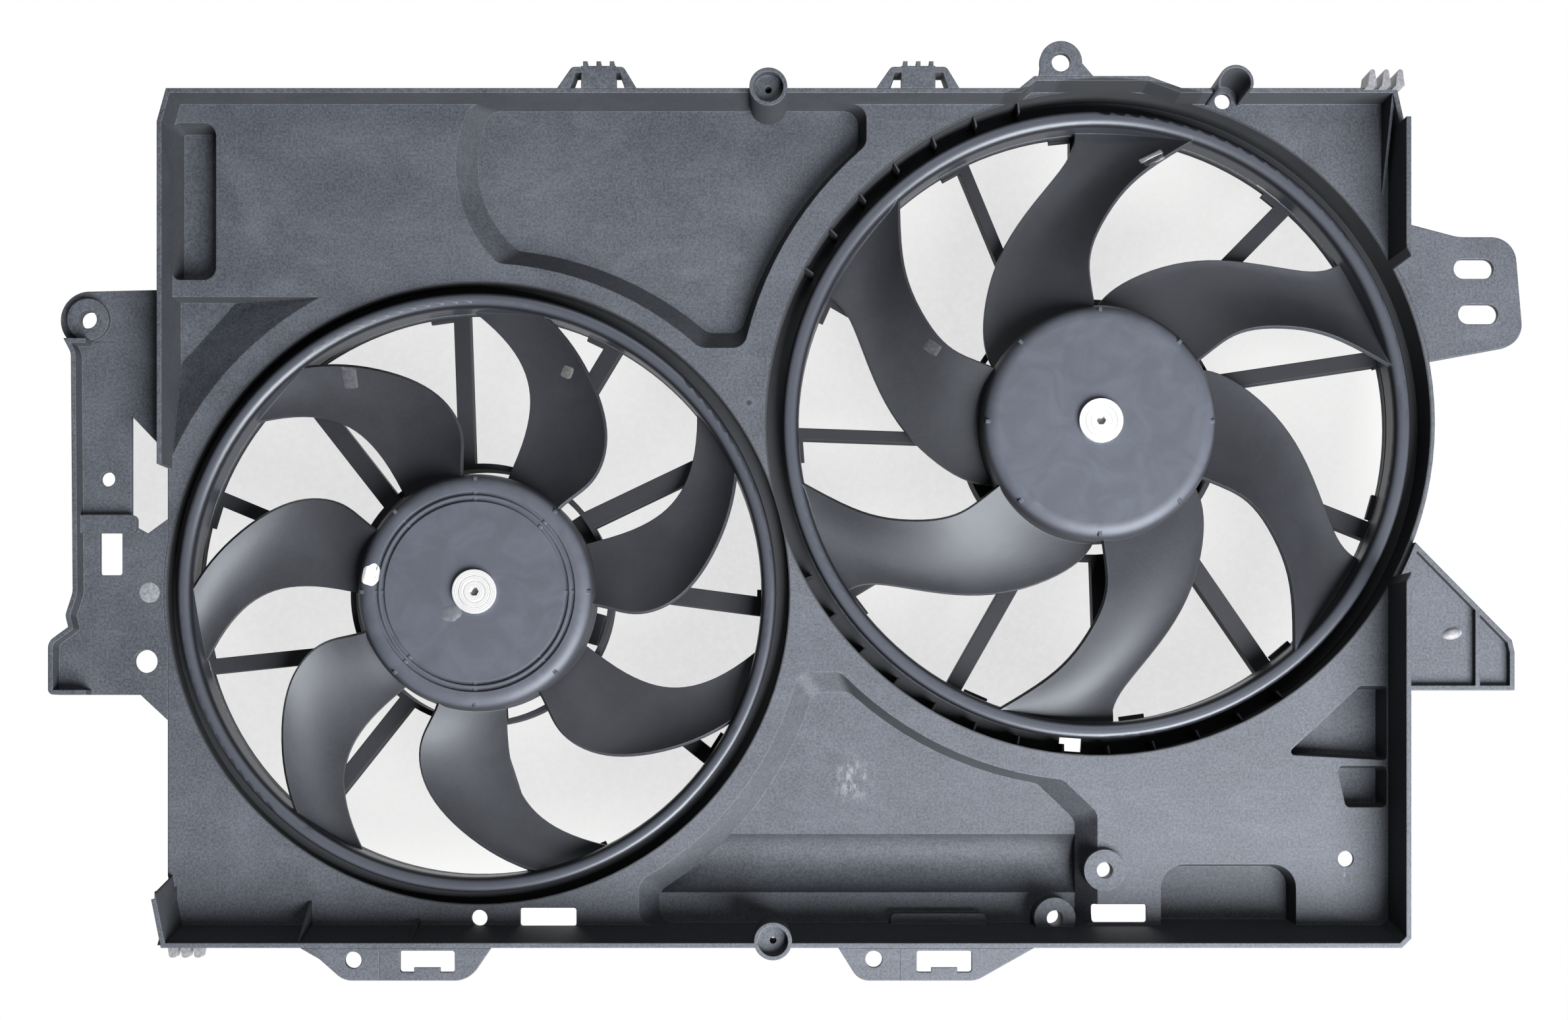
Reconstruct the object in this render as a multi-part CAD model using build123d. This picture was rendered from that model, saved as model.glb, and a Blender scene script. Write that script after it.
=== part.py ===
from build123d import *
import os
from math import cos, hypot, radians, sin
from types import SimpleNamespace

# Twin cooling fan assembly for a vehicle radiator, in millimetres.
# +X runs right, +Z up and +Y away from the radiator.
# The origin is the centre of the rim face that seats on the radiator.

# Shroud body
BODY_LEFT = -341.0
BODY_RIGHT = 335.0
BODY_TOP = 233.5
BODY_BOTTOM = -231.0
RIM_DEPTH = 29.0
TOP_EDGE = 11.0
BOTTOM_SLOPE = 6.5
PLATE_T = 2.5
WALL_T = 2.6
HUMP_RISE = 6.5
LEFT_WALL_END = 30.0
LEFT_WALL_START = -205.0
PLATE_BACK = RIM_DEPTH + PLATE_T

# Recessed pans behind the plate
SMALL_DRAFT = 8.0
KIDNEY_DEPTH = 12.0
LOWER_DEPTH = 12.0
CORNER_DEPTH = 14.0
POCKET_DEPTH = 13.0
TROUGH_DEPTH = 9.0
TROUGH_HALF = 16.3
TROUGH_Z = -188.7
WIDE_SLOPE = 10.6
STEEP_SLOPE = 4.0
PAN_CORNER = 8.0

# Round features on the shroud
CUP_R = 10.2
CUP_BORE_R = 8.0
CUP_DEPTH = 5.5
PIN_HOLE_R = 1.8
POST_R = 9.6
BOSS_R = 11.5
SCREW_HOLE_R = 4.4

# Brackets and ears
BRACKET_T = 3.0
BRACKET_EDGE = 9.0
FOOT_EDGE = 4.0
BRACKET_DROP = 17.5
EAR_HOLE_R = 5.0
EAR_R = 11.5
LOBE_R = 16.0
SLOT_LENGTH = 22.0
SLOT_WIDTH = 11.0
SLOT_SPACING = 25.0

# Fan fits
RING_T = 2.3
BELL_R = 4.8
BELL_CURL_R = 3.2
BELL_CURL = 4.2
RING_FLOOR_GAP = 1.5
FLOOR_T = 2.5
COLLAR_T = 2.8
COLLAR_LENGTH = 3.0
BORE_WALL_T = 2.5
HUB_T = 2.6
HUB_R = 65.1
HUB_RIB_T = 2.0
HUB_RIB_COUNT = 8
BLADE_T = 2.2
CLIP_T = 0.8
CLIP_WIDTH = 16.0

# Motor holder and struts
STRUT_DEPTH = 9.0
TAB_T = 2.0
TAB_LENGTH = 14.0
TAB_AHEAD = 6.0
HOLDER_R = 73.5
HOLDER_T = 3.0
HOLDER_LENGTH = 17.0
LUG_T = 3.5
LUG_AT = 10.5
LUG_R = 9.0
LUG_COUNT = 3
LUG_CIRCLE_R = 61.0

# Motor
CAN_R = 46.0
CAN_T = 2.0
CAN_AHEAD = 9.0
CAN_LENGTH = 58.0
CAP_T = 5.0
CAP_SKIN = 2.0
FLANGE_T = 2.5
EAR_SCREW_R = 2.5
SCREW_HEAD_R = 4.6
SCREW_HEAD_T = 3.2
SCREW_LENGTH = 12.0
MAGNET_T = 8.0
MAGNET_LENGTH = 36.0
CORE_LENGTH = 28.0
HEAD_LENGTH = 5.0
HEAD_GAP = 1.5
AIR_GAP = 1.2
SHAFT_R = 4.0
BUSH_R = 8.0
BUSH_LENGTH = 9.0
RUN_FIT = 0.05
SIDE_PLAY = 0.5
COMMUTATOR_R = 13.0
BRUSH_GAP = 0.3
BRUSH_WIDTH = 7.0
INSERT_R = 8.5
DISC_R = 12.0
DISC_T = 2.5
PLUG_REACH = 20.0
PLUG_WIDTH = 18.0
PLUG_HEIGHT = 16.0
PLUG_WALL = 2.0

# The two fans: places, sizes and swept blades. Angles run anticlockwise from +X, seen from the radiator.
# Each lead and trail angle belongs to a station spaced evenly from the hub to the ring.
LEFT = SimpleNamespace(
    name="left", x=-169.5, z=-39.0, bore_r=171.4, lip_gap=7.0, lip_width=8.4, lip_y=21.0, ring_length=16.0,
    hub_front=16.0, hub_edge=8.5, hub_groove=(49.2, 54.6), blades=7, blade_at=-7.4,
    lead=(1.2, 0.0, 1.0, 6.0, 14.0, 23.0, 32.5), trail=(33.0, 31.0, 30.4, 31.5, 34.8, 40.5, 47.5),
    lead_y=(21.0, 25.5), trail_y=(38.0, 35.0), camber=3.0, first_lug=33.0,
    struts=((92.0, 6.0, 9.0), (59.0, 8.0, 9.5), (25.5, 12.0, 10.5), (-7.5, 14.0, 10.5),
            (-38.5, 8.0, 9.0), (-72.0, -19.0, 9.0), (-128.5, 4.0, 9.0), (-174.0, 24.0, 8.5),
            (157.5, 6.0, 8.0), (128.0, 8.0, 10.5)))
RIGHT = SimpleNamespace(
    name="right", x=172.5, z=55.0, bore_r=183.2, lip_gap=8.8, lip_width=9.2, lip_y=33.0, ring_length=14.5,
    hub_front=22.0, hub_edge=9.0, hub_groove=None, blades=6, blade_at=33.2,
    lead=(-1.3, 0.0, -1.3, -5.5, -10.4, -16.3, -22.0), trail=(57.0, 46.5, 33.5, 21.5, 10.5, 2.8, 0.5),
    lead_y=(29.0, 35.0), trail_y=(44.0, 46.0), camber=5.0, first_lug=90.0,
    struts=((8.5, 16.0, 8.6), (45.5, 10.0, 9.5), (90.0, 8.0, 8.0), (112.5, 10.0, 6.5), (150.0, 8.0, 8.0),
            (178.0, 8.0, 6.5), (211.0, 8.0, 8.0), (240.5, 4.0, 9.2), (272.0, 2.0, 9.5), (304.5, 4.0, 10.0),
            (338.5, 4.0, 10.0)))
FANS = (LEFT, RIGHT)
for fan in FANS:
    fan.lip_r = fan.bore_r - fan.lip_gap
    fan.ring_r = fan.lip_r - fan.lip_width
    fan.floor_y = fan.lip_y + fan.ring_length + RING_FLOOR_GAP
    fan.collar_y = fan.floor_y + FLOOR_T
    fan.strut_y = fan.collar_y + SIDE_PLAY
    fan.lug_y = fan.strut_y + LUG_AT
    fan.flange_y = fan.lug_y + LUG_T
    fan.can_y = fan.strut_y - CAN_AHEAD
    fan.cap_y = fan.can_y + CAN_LENGTH
    fan.hub_back = fan.strut_y - 2.0


def facing(y):
    """The plane at depth y, drawn as seen from the radiator."""
    return Plane((0, y, 0), x_dir=(1, 0, 0), z_dir=(0, -1, 0))


def slab(face, front, back, draft=0.0):
    """A flat outline carried from one depth to another, drawn in by a draft angle on the way."""
    return extrude(facing(front) * face, amount=back - front, dir=(0, 1, 0), taper=draft)


def disc(x, z, radius, front, back):
    """A round bar along Y."""
    return slab(Pos(x, z) * Circle(radius), front, back)


def tube(x, z, outer, inner, front, back):
    """A round tube along Y."""
    return slab(Pos(x, z) * Circle(outer) - Pos(x, z) * Circle(inner), front, back)


def outline(*points, corner=0.0):
    """A closed outline of straight sides. A point's third number rounds its corner, corner the others."""
    face = make_face(Polyline(*[point[:2] for point in points], close=True))
    for point in points:
        radius = point[2] if len(point) > 2 else corner
        if radius:
            face = fillet(face.vertices().sort_by_distance((point[0], point[1], 0))[0], radius)
    return face


def sloped(front_face, front, back_face, back):
    """A solid with straight sides between two outlines at two depths."""
    return loft([(facing(front) * front_face).face(), (facing(back) * back_face).face()], ruled=True)


def turned(fan, profile):
    """A profile of radius and depth, turned about a fan's axis."""
    return Pos(fan.x, 0, fan.z) * revolve(profile, Axis.Y)


def box(left, right, bottom, top, front, back, corner=0.0):
    """A block given by its sides, with the corners of its outline rounded."""
    return slab(outline((left, bottom), (right, bottom), (right, top), (left, top), corner=corner), front, back)


def around(fan, radius, angle):
    """The point at a radius and an angle from a fan's axis."""
    return (fan.x + radius * cos(radians(angle)), fan.z + radius * sin(radians(angle)))


def save(shape, name):
    """Writes one piece under its own name."""
    solids = shape.solids()
    shape = solids[0] if len(solids) == 1 else Compound(children=list(solids))
    shape.label = name
    export_step(shape, f"parts/{name}.step")


# Outline of the body, shared by the plate and the wall
def body_outline(rise=0.0):
    """The rim's outline: a long rectangle with clipped corners and a hump over the right barrel."""
    hump = BODY_TOP + HUMP_RISE
    bottom = BODY_BOTTOM + rise
    return outline(
        (BODY_LEFT + 5, BODY_TOP), (RIGHT.x - 46, BODY_TOP), (RIGHT.x - 38, hump), (RIGHT.x + 24, hump),
        (RIGHT.x + 42, BODY_TOP), (BODY_RIGHT - 4, BODY_TOP), (BODY_RIGHT, BODY_TOP - 18),
        (BODY_RIGHT, bottom + 5), (BODY_RIGHT - 5, bottom), (BODY_LEFT + 6, bottom),
        (BODY_LEFT, bottom + 30), (BODY_LEFT, BODY_TOP - 18))


# Clearances between a pan's edge and the barrels that it runs round
LEFT_LAND = 11.0
RIGHT_LAND = 16.6
CORNER_LAND = 14.0


def beside_barrels(face, left_land, right_land):
    """What an outline keeps outside both barrels and their lands: its biggest piece, rounded."""
    face -= Pos(LEFT.x, LEFT.z) * Circle(LEFT.bore_r + left_land)
    face -= Pos(RIGHT.x, RIGHT.z) * Circle(RIGHT.bore_r + right_land)
    face = sorted(face.faces(), key=lambda piece: piece.area)[-1]
    return fillet(face.vertices(), PAN_CORNER)


def upper_pan_face(wide=0.0, steep=0.0):
    """The upper pan. Its left and lower sides come in by one slope, its right by another."""
    top = BODY_TOP - WALL_T
    low = 96.5 + wide
    side = ThreePointArc((-163.0 + wide, 246.0), (-181.8 + wide, 191.0), (-150.0 + wide, 136.0 + wide))
    rest = Polyline(side @ 1, (-125.0, low), (80.0, low), (80.0, 246.0), side @ 0)
    face = make_face([side, rest])
    face &= outline((-200, top), (-200, 80), (44.5 - steep, 80), (44.5 - steep, top))
    return beside_barrels(face, LEFT_LAND + wide, RIGHT_LAND + steep)


def lower_pan_face(wide=0.0, steep=0.0):
    """The lower pan: it runs up between the barrels and down to the bottom wall."""
    low = BODY_BOTTOM + WALL_T + BOTTOM_SLOPE
    face = outline((-81.0, -260.0), (-81.0, -197.0), (-50.0, -150.0), (-20.0, -82.5), (80.0, -82.5),
                   (120.0, -110.0), (172.0, -160.0), (172.0, -260.0))
    if wide:
        face = offset(face, amount=-wide, kind=Kind.INTERSECTION)
    face &= outline((-200, low), (200, low), (200, 0), (-200, 0))
    return beside_barrels(face, LEFT_LAND - 0.5 + wide, RIGHT_LAND - 2.0 + steep)


def corner_channel():
    """The upright channel of the upper left corner."""
    left = BODY_LEFT + WALL_T
    right = left + 24.0
    return outline((left, 134.0, 4), (right, 134.0, 7), (right, 220.5, 7), (left, 220.5, 4))


def corner_funnel(more):
    """The mouth and the floor of the funnel below the channel, which slopes down from the left barrel."""
    left = BODY_LEFT + WALL_T - more
    top = 124.5 + more
    mouth = outline((left, top), (-240.0, top), (-240.0, 20.0), (left, 20.0))
    mouth -= Pos(LEFT.x, LEFT.z) * Circle(LEFT.bore_r + CORNER_LAND - more)
    mouth = sorted(mouth.faces(), key=lambda piece: piece.center().Y)[-1]
    floor = outline((left, top), (left + 31.0 + 3 * more, top), (left, top - 34.5 - 3 * more))
    return mouth, floor


def pocket_faces():
    """The small pans at the lower right: a triangle, a block and a round-shouldered box."""
    low = BODY_BOTTOM + WALL_T + BOTTOM_SLOPE
    triangle = outline((317.0, -90.0), (331.5, -90.0), (331.5, -131.0), (276.0, -128.0), corner=2.0)
    block = outline((304.0, -134.0), (331.5, -134.0), (331.5, -157.0), (309.0, -157.0), corner=3.0)
    shouldered = outline((207.0, low), (207.0, -188.5, 13), (281.5, -188.5, 13), (281.5, low))
    return triangle, block, shouldered


def pans(grown):
    """Every pan as a solid: its hollow, or with grown set its outer skin, a plate's thickness larger."""
    more = PLATE_T if grown else 0.0
    solids = []
    for face, depth in ((upper_pan_face, KIDNEY_DEPTH), (lower_pan_face, LOWER_DEPTH)):
        solids.append(sloped(swell(face(), more), RIM_DEPTH, swell(face(WIDE_SLOPE, STEEP_SLOPE), more),
                             RIM_DEPTH + depth + more))
    mouth, floor = corner_funnel(more)
    solids.append(sloped(mouth, RIM_DEPTH, floor, RIM_DEPTH + CORNER_DEPTH + more))
    small = [(corner_channel(), CORNER_DEPTH)] + [(face, POCKET_DEPTH) for face in pocket_faces()]
    for face, depth in small:
        solids.append(slab(swell(face, more), RIM_DEPTH, RIM_DEPTH + depth + more, SMALL_DRAFT))
    return solids


def swell(face, more):
    """An outline grown on every side."""
    return offset(face, amount=more, kind=Kind.INTERSECTION) if more else face


def trough():
    """The shallow round-bottomed trough across the lower pan's floor, as its hollow and its skin."""
    start = RIM_DEPTH + LOWER_DEPTH
    band = lower_pan_face(WIDE_SLOPE, STEEP_SLOPE)
    band &= Pos(52, TROUGH_Z) * Rectangle(300, 2 * TROUGH_HALF)
    arc_r = (TROUGH_HALF ** 2 + TROUGH_DEPTH ** 2) / (2 * TROUGH_DEPTH)
    bar = Pos(52, start + TROUGH_DEPTH - arc_r, TROUGH_Z) * Cylinder(arc_r, 300, rotation=(0, 90, 0))
    hollow = slab(band, start - 0.5, start + TROUGH_DEPTH + 1) & bar
    return hollow, slab(swell(band, 1.0), start, start + TROUGH_DEPTH + PLATE_T)


def shroud_panel():
    """Plate, rim wall, barrels, pans and bosses in one moulding."""
    body = body_outline()
    plate = body_outline(BOTTOM_SLOPE)
    inside = offset(body, amount=-WALL_T, kind=Kind.INTERSECTION)
    plate_inside = offset(plate, amount=-WALL_T, kind=Kind.INTERSECTION)
    panel = slab(body, 0, BRACKET_T)
    panel += sloped(body, BRACKET_T, plate, RIM_DEPTH)
    panel += slab(plate, RIM_DEPTH, PLATE_BACK)
    panel -= slab(inside, -1, BRACKET_T)
    panel -= sloped(inside, BRACKET_T, plate_inside, RIM_DEPTH)
    panel -= top_cut()
    trough_hollow, trough_skin = trough()
    for fan in FANS:
        panel += disc(fan.x, fan.z, fan.bore_r + BORE_WALL_T, RIM_DEPTH, fan.collar_y)
    for skin in pans(True) + [trough_skin]:
        panel += skin
    for hollow in pans(False) + [trough_hollow]:
        panel -= hollow
    for fan in FANS:
        panel -= disc(fan.x, fan.z, fan.bore_r, RIM_DEPTH - 1, fan.floor_y)
        panel -= disc(fan.x, fan.z, fan.ring_r, fan.floor_y - 1, fan.collar_y + 1)
    panel -= side_gaps()
    panel += gussets()
    panel += bosses()
    panel -= holes()
    return panel


def top_cut():
    """The rim wall is lower along the top and down the upper left side."""
    return Part() + [
        box(BODY_LEFT - 1, BODY_RIGHT + 1, BODY_TOP - 19.0, BODY_TOP + 20.0, -1, TOP_EDGE),
        box(BODY_LEFT - 1, BODY_LEFT + 10.0, LEFT_WALL_END, BODY_TOP, -1, TOP_EDGE)]


def side_gaps():
    """Where the rim wall leaves room for the barrels: the left side below the arm, and the right bulge."""
    right = Pos(RIGHT.x, RIGHT.z) * Circle(RIGHT.bore_r) & Pos(BODY_RIGHT, 0) * Rectangle(60, 600)
    return Part() + [
        box(BODY_LEFT - 1, BODY_LEFT + WALL_T, LEFT_WALL_START, LEFT_WALL_END, -1, RIM_DEPTH),
        slab(right, -1, RIM_DEPTH - 1)]


# Thin three-cornered gussets between wall and plate. Each is (x, reach along the plate).
GUSSET_T = 1.6
TOP_GUSSETS = ((329.5, 54.0),)
BOTTOM_GUSSETS = ((-336.5, 30.0), (-262.0, 22.0), (-202.5, 12.0))


def gussets():
    """The gussets at the upper corners and along the bottom wall."""
    solids = []
    for x, reach in TOP_GUSSETS:
        wall = BODY_TOP - 0.5 * WALL_T
        solids.append(fin(x, (TOP_EDGE, wall), (RIM_DEPTH + 1, wall), (RIM_DEPTH + 1, wall - reach)))
    for x, reach in BOTTOM_GUSSETS:
        wall = BODY_BOTTOM + 0.5 * WALL_T
        root = RIM_DEPTH + 1
        solids.append(fin(x, (1.0, wall), (root, wall + BOTTOM_SLOPE), (root, wall + reach)))
    return Part() + solids


def fin(x, *corners):
    """A thin upright plate across X, from its corners of depth and height."""
    face = make_face(Polyline(*[(0, y, z) for y, z in corners], close=True))
    return Pos(x, 0, 0) * extrude(face, amount=GUSSET_T / 2, dir=(1, 0, 0), both=True)


# Bosses stand between the rim and the plate. Each is (x, z, radius, front, back).
CUPS = ((-9.5, BODY_TOP - 3.0), (-7.0, BODY_BOTTOM + 3.5))
POST = (241.0, BODY_TOP - 1.0)
CLIP_SLOT_ANGLE = 266.0
LOW_BOSS = (148.0, -218.0)
SIDE_BOSS = (175.5, -191.5)


def bosses():
    """Cups and posts on the rim, and the two screw bosses of the lower pan."""
    solids = [disc(x, z, CUP_R, 0, PLATE_BACK) for x, z in CUPS]
    post = Pos(*POST) * Circle(POST_R) & Pos(POST[0], POST[1] + POST_R) * Rectangle(4 * POST_R, 2 * POST_R + 5)
    solids.append(slab(post, 0, PLATE_BACK))
    solids.append(disc(*LOW_BOSS, BOSS_R, RIM_DEPTH - 3, RIM_DEPTH + LOWER_DEPTH + PLATE_T))
    solids.append(disc(*SIDE_BOSS, BOSS_R, RIM_DEPTH - 3, PLATE_BACK + 4))
    solids.append(box(58, 111, BODY_BOTTOM + 7, -216, RIM_DEPTH + 4, RIM_DEPTH + LOWER_DEPTH + 1, corner=3))
    return Part() + solids


def holes():
    """Screw holes, the open cups and the clip windows along the bottom wall."""
    solids = [disc(x, z, CUP_BORE_R, -1, CUP_DEPTH) for x, z in CUPS]
    solids += [disc(x, z, PIN_HOLE_R, -1, PLATE_BACK + 1) for x, z in CUPS]
    solids.append(disc(*POST, CUP_BORE_R, -1, RIM_DEPTH))
    solids.append(disc(*POST, SCREW_HOLE_R, RIM_DEPTH - 1, PLATE_BACK + 1))
    for x, z in (LOW_BOSS, SIDE_BOSS, (-169.0, -218.0), (309.0, -185.5)):
        solids.append(disc(x, z, SCREW_HOLE_R, 0, RIM_DEPTH + LOWER_DEPTH + 10))
    for left, right, top in ((-146.5, -115.5, -212.5), (169.0, 199.0, -210.5)):
        solids.append(box(left, right, top - 10, top, RIM_DEPTH - 1, PLATE_BACK + 16, corner=1.5))
    solids.append(box(-172, -162, -207, -203.5, RIM_DEPTH - 1, PLATE_BACK + 1, corner=1))
    slot = Rot(0, 0, CLIP_SLOT_ANGLE) * (Pos(RIGHT.bore_r - 5.0, 0) * Rectangle(7.5, 12.5))
    solids.append(slab(Pos(RIGHT.x, RIGHT.z) * slot, RIGHT.floor_y - 1, RIGHT.collar_y + 1))
    return Part() + solids


def spider(fan):
    """Collar, curved struts and the ring that holds the motor, with its three screw lugs."""
    back = fan.strut_y + STRUT_DEPTH
    body = tube(fan.x, fan.z, fan.ring_r + COLLAR_T, fan.ring_r, fan.collar_y, fan.strut_y + COLLAR_LENGTH)
    body += tube(fan.x, fan.z, HOLDER_R, HOLDER_R - HOLDER_T, fan.strut_y, fan.strut_y + HOLDER_LENGTH)
    reach = hypot(fan.ring_r + COLLAR_T, 25)
    for angle, aside, width in fan.struts:
        bar = Pos(reach / 2, aside) * Rectangle(reach, width)
        band = Circle(fan.ring_r + 0.6 * COLLAR_T) - Circle(HOLDER_R - 0.5 * HOLDER_T)
        strut = Pos(fan.x, fan.z) * (Rot(0, 0, angle) * bar & band)
        body += slab(strut, fan.strut_y, back)
    for index in range(LUG_COUNT):
        angle = fan.first_lug + index * 360 / LUG_COUNT
        x, z = around(fan, LUG_CIRCLE_R, angle)
        arm = Pos(LUG_CIRCLE_R + 6, 0) * Rectangle(12, 2 * LUG_R) + Pos(LUG_CIRCLE_R, 0) * Circle(LUG_R)
        arm = Pos(fan.x, fan.z) * (Rot(0, 0, angle) * arm & Circle(HOLDER_R - 1))
        body += slab(arm, fan.lug_y, fan.lug_y + LUG_T)
        body -= disc(x, z, EAR_SCREW_R, fan.lug_y - 1, fan.lug_y + LUG_T + 1)
    for angle, aside, width in fan.struts:
        tab = Pos(fan.ring_r - 0.5 * TAB_T, 0) * Rectangle(TAB_T + 1, TAB_LENGTH)
        tab = Pos(fan.x, fan.z) * (Rot(0, 0, angle + TAB_AHEAD) * tab & Circle(fan.ring_r + 0.5 * COLLAR_T))
        body += slab(tab, fan.strut_y, fan.strut_y + COLLAR_LENGTH)
    return body


# Fixing brackets of the moulding
def left_arm_bracket():
    """The long arm on the left: a plate with a raised outer edge, open beside the barrel."""
    face = outline(
        (BODY_LEFT, EAR_SEAT), (-395.1, EAR_SEAT), (-391.0, 92.0, 8), (-390.0, -39.0, 12), (-394.0, -51.5, 5),
        (-392.5, -58.0), (-403.5, -66.0, 7), (-403.5, -95.0, 3), (-356.0, -95.0), (BODY_LEFT, -109.0))
    face -= outline((-361.0, 59.0), (BODY_LEFT, 38.0), (BODY_LEFT, 2.0), (-352.0, -6.0), (-361.0, -1.0))
    face -= Pos(LEFT.x, LEFT.z) * Circle(LEFT.bore_r + BORE_WALL_T)
    arm = slab(face, RIM_DEPTH, RIM_DEPTH + BRACKET_T)
    edge = face - offset(face, amount=-WALL_T, kind=Kind.INTERSECTION)
    side = edge & (Pos(-395.0, 0) * Rectangle(24, 400))
    arm += slab(side, RIM_DEPTH - BRACKET_EDGE, RIM_DEPTH)
    arm -= box(-378.5, -366, -29, 0, RIM_DEPTH - 1, RIM_DEPTH + BRACKET_T + 1, corner=1.5)
    arm -= disc(-374.0, 24.0, 4.0, RIM_DEPTH - 1, RIM_DEPTH + BRACKET_T + 1)
    arm -= disc(-353.0, -76.5, 6.4, RIM_DEPTH - 1, RIM_DEPTH + BRACKET_T + 1)
    arm += box(-391.0, -357.0, -6.0, 4.0, RIM_DEPTH - 4, RIM_DEPTH, corner=3)
    return arm


EAR_SEAT = 100.0
LEFT_EAR = (-384.0, EAR_SEAT + 11.5)
TOP_EAR = (149.0, BODY_TOP + 14.0)
LOW_LEFT_EAR = (-232.0, BODY_BOTTOM - 6.5)
LOW_RIGHT_EAR = (47.0, BODY_BOTTOM - 6.0)


def left_ear():
    """The upper left ear: a round lobe that tops the arm and joins it to the body."""
    x, z = LEFT_EAR
    top = z + LOBE_R
    face = outline((BODY_LEFT, EAR_SEAT), (BODY_LEFT, top + 1), (x, top), (x, EAR_SEAT))
    lobe = Pos(x, z) * Circle(LOBE_R)
    face += lobe - Pos(x, EAR_SEAT - LOBE_R) * Rectangle(4 * LOBE_R, 2 * LOBE_R)
    ear = slab(face, RIM_DEPTH, RIM_DEPTH + BRACKET_T)
    ear += disc(x, z, EAR_R, RIM_DEPTH - 3, RIM_DEPTH)
    return ear - disc(x, z, EAR_HOLE_R, RIM_DEPTH - 4, RIM_DEPTH + BRACKET_T + 1)


def top_ear():
    """The ear over the right barrel, in the plane of the rim."""
    x, z = TOP_EAR
    seat = BODY_TOP + HUMP_RISE
    face = outline((x - 12.0, seat), (x + 17.5, seat), (x + EAR_R - 0.5, z), (x - EAR_R + 0.5, z))
    face += Pos(x, z) * Circle(EAR_R)
    face -= Pos(x, seat - EAR_R) * Rectangle(4 * EAR_R, 2 * EAR_R)
    ear = slab(face, TOP_EDGE, TOP_EDGE + BRACKET_T)
    return ear - disc(x, z, EAR_HOLE_R, TOP_EDGE - 1, TOP_EDGE + BRACKET_T + 1)


def low_left_ear():
    """The rounded end of the lower left bracket, with its hole."""
    x, z = LOW_LEFT_EAR
    low = BODY_BOTTOM - BRACKET_DROP
    face = outline((x - 28.5, BODY_BOTTOM), (x - 18.0, BODY_BOTTOM - 6.0, 6), (x - 5.0, low, 12),
                   (x + 14.0, low), (x + 14.0, BODY_BOTTOM))
    ear = slab(face, 0, BRACKET_T)
    return ear - disc(x, z, EAR_HOLE_R - 0.5, -1, BRACKET_T + 1)


def low_right_ear():
    """The rounded end of the lower middle bracket, with its hole."""
    x, z = LOW_RIGHT_EAR
    low = BODY_BOTTOM - BRACKET_DROP
    face = outline((x - 19.0, BODY_BOTTOM), (x - 8.0, low, 10), (x + 14.0, low), (x + 14.0, BODY_BOTTOM))
    ear = slab(face, 0, BRACKET_T)
    return ear - disc(x, z, EAR_HOLE_R - 0.5, -1, BRACKET_T + 1)


def clip_bracket(left, right, slope, window_left, window_right):
    """A flat fixing tab under the bottom wall, with a window for a clip and a small tongue in it."""
    low = BODY_BOTTOM - BRACKET_DROP
    face = outline((left, BODY_BOTTOM), (left, low), (right - slope, low, 14), (right, BODY_BOTTOM))
    tab = slab(face, 0, BRACKET_T)
    tab -= box(window_left, window_right, low + 4.5, BODY_BOTTOM - 1.5, -1, BRACKET_T + 1, corner=1.5)
    middle = (window_left + window_right) / 2
    return tab + box(middle - 7, middle + 7, low + 4, low + 7, 0, 1.5)


def right_upper_bracket():
    """The slotted plate on the right, carried by the rim wall and the barrel."""
    face = outline((BODY_RIGHT, 167.0), (371.0, 157.5, 25), (402.0, 157.5, 14), (407.0, 98.5, 13),
                   (350.0, 88.0), (BODY_RIGHT, 120.0))
    face -= Pos(RIGHT.x, RIGHT.z) * Circle(RIGHT.bore_r + BORE_WALL_T)
    plate = slab(face, RIM_DEPTH, RIM_DEPTH + BRACKET_T)
    for x, z in slot_places():
        slot = Pos(x, z) * SlotOverall(SLOT_LENGTH, SLOT_WIDTH)
        plate -= slab(slot, RIM_DEPTH - 1, RIM_DEPTH + BRACKET_T + 1)
    return plate


def slot_places():
    """The centres of the two slots, one above the other."""
    return ((379.5, 140.0), (382.0, 140.0 - SLOT_SPACING))


def right_lower_bracket():
    """The triangular foot on the right, with a raised edge and one upright rib."""
    face = outline((BODY_RIGHT, 0.0), (399.0, -65.0), (400.5, -71.5), (400.5, -92.5), (BODY_RIGHT, -92.5))
    face -= Pos(RIGHT.x, RIGHT.z) * Circle(RIGHT.bore_r + BORE_WALL_T)
    foot = slab(face, RIM_DEPTH, RIM_DEPTH + BRACKET_T)
    edge = face - offset(face, amount=-WALL_T, kind=Kind.INTERSECTION)
    foot += slab(edge, RIM_DEPTH - FOOT_EDGE, RIM_DEPTH)
    foot += box(379.0, 381.5, -91.0, -48.0, RIM_DEPTH - FOOT_EDGE, RIM_DEPTH)
    return foot


# Clips along the top edge: each is a low arch with a toothed comb in front
CLIP_ARCHES = ((-124.0, -81.0, (-111.0, -92.0)), (49.0, 94.0, (62.5, 81.0)))
ARCH_RISE = 11.5
COMB_RISE = 14.5


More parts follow.
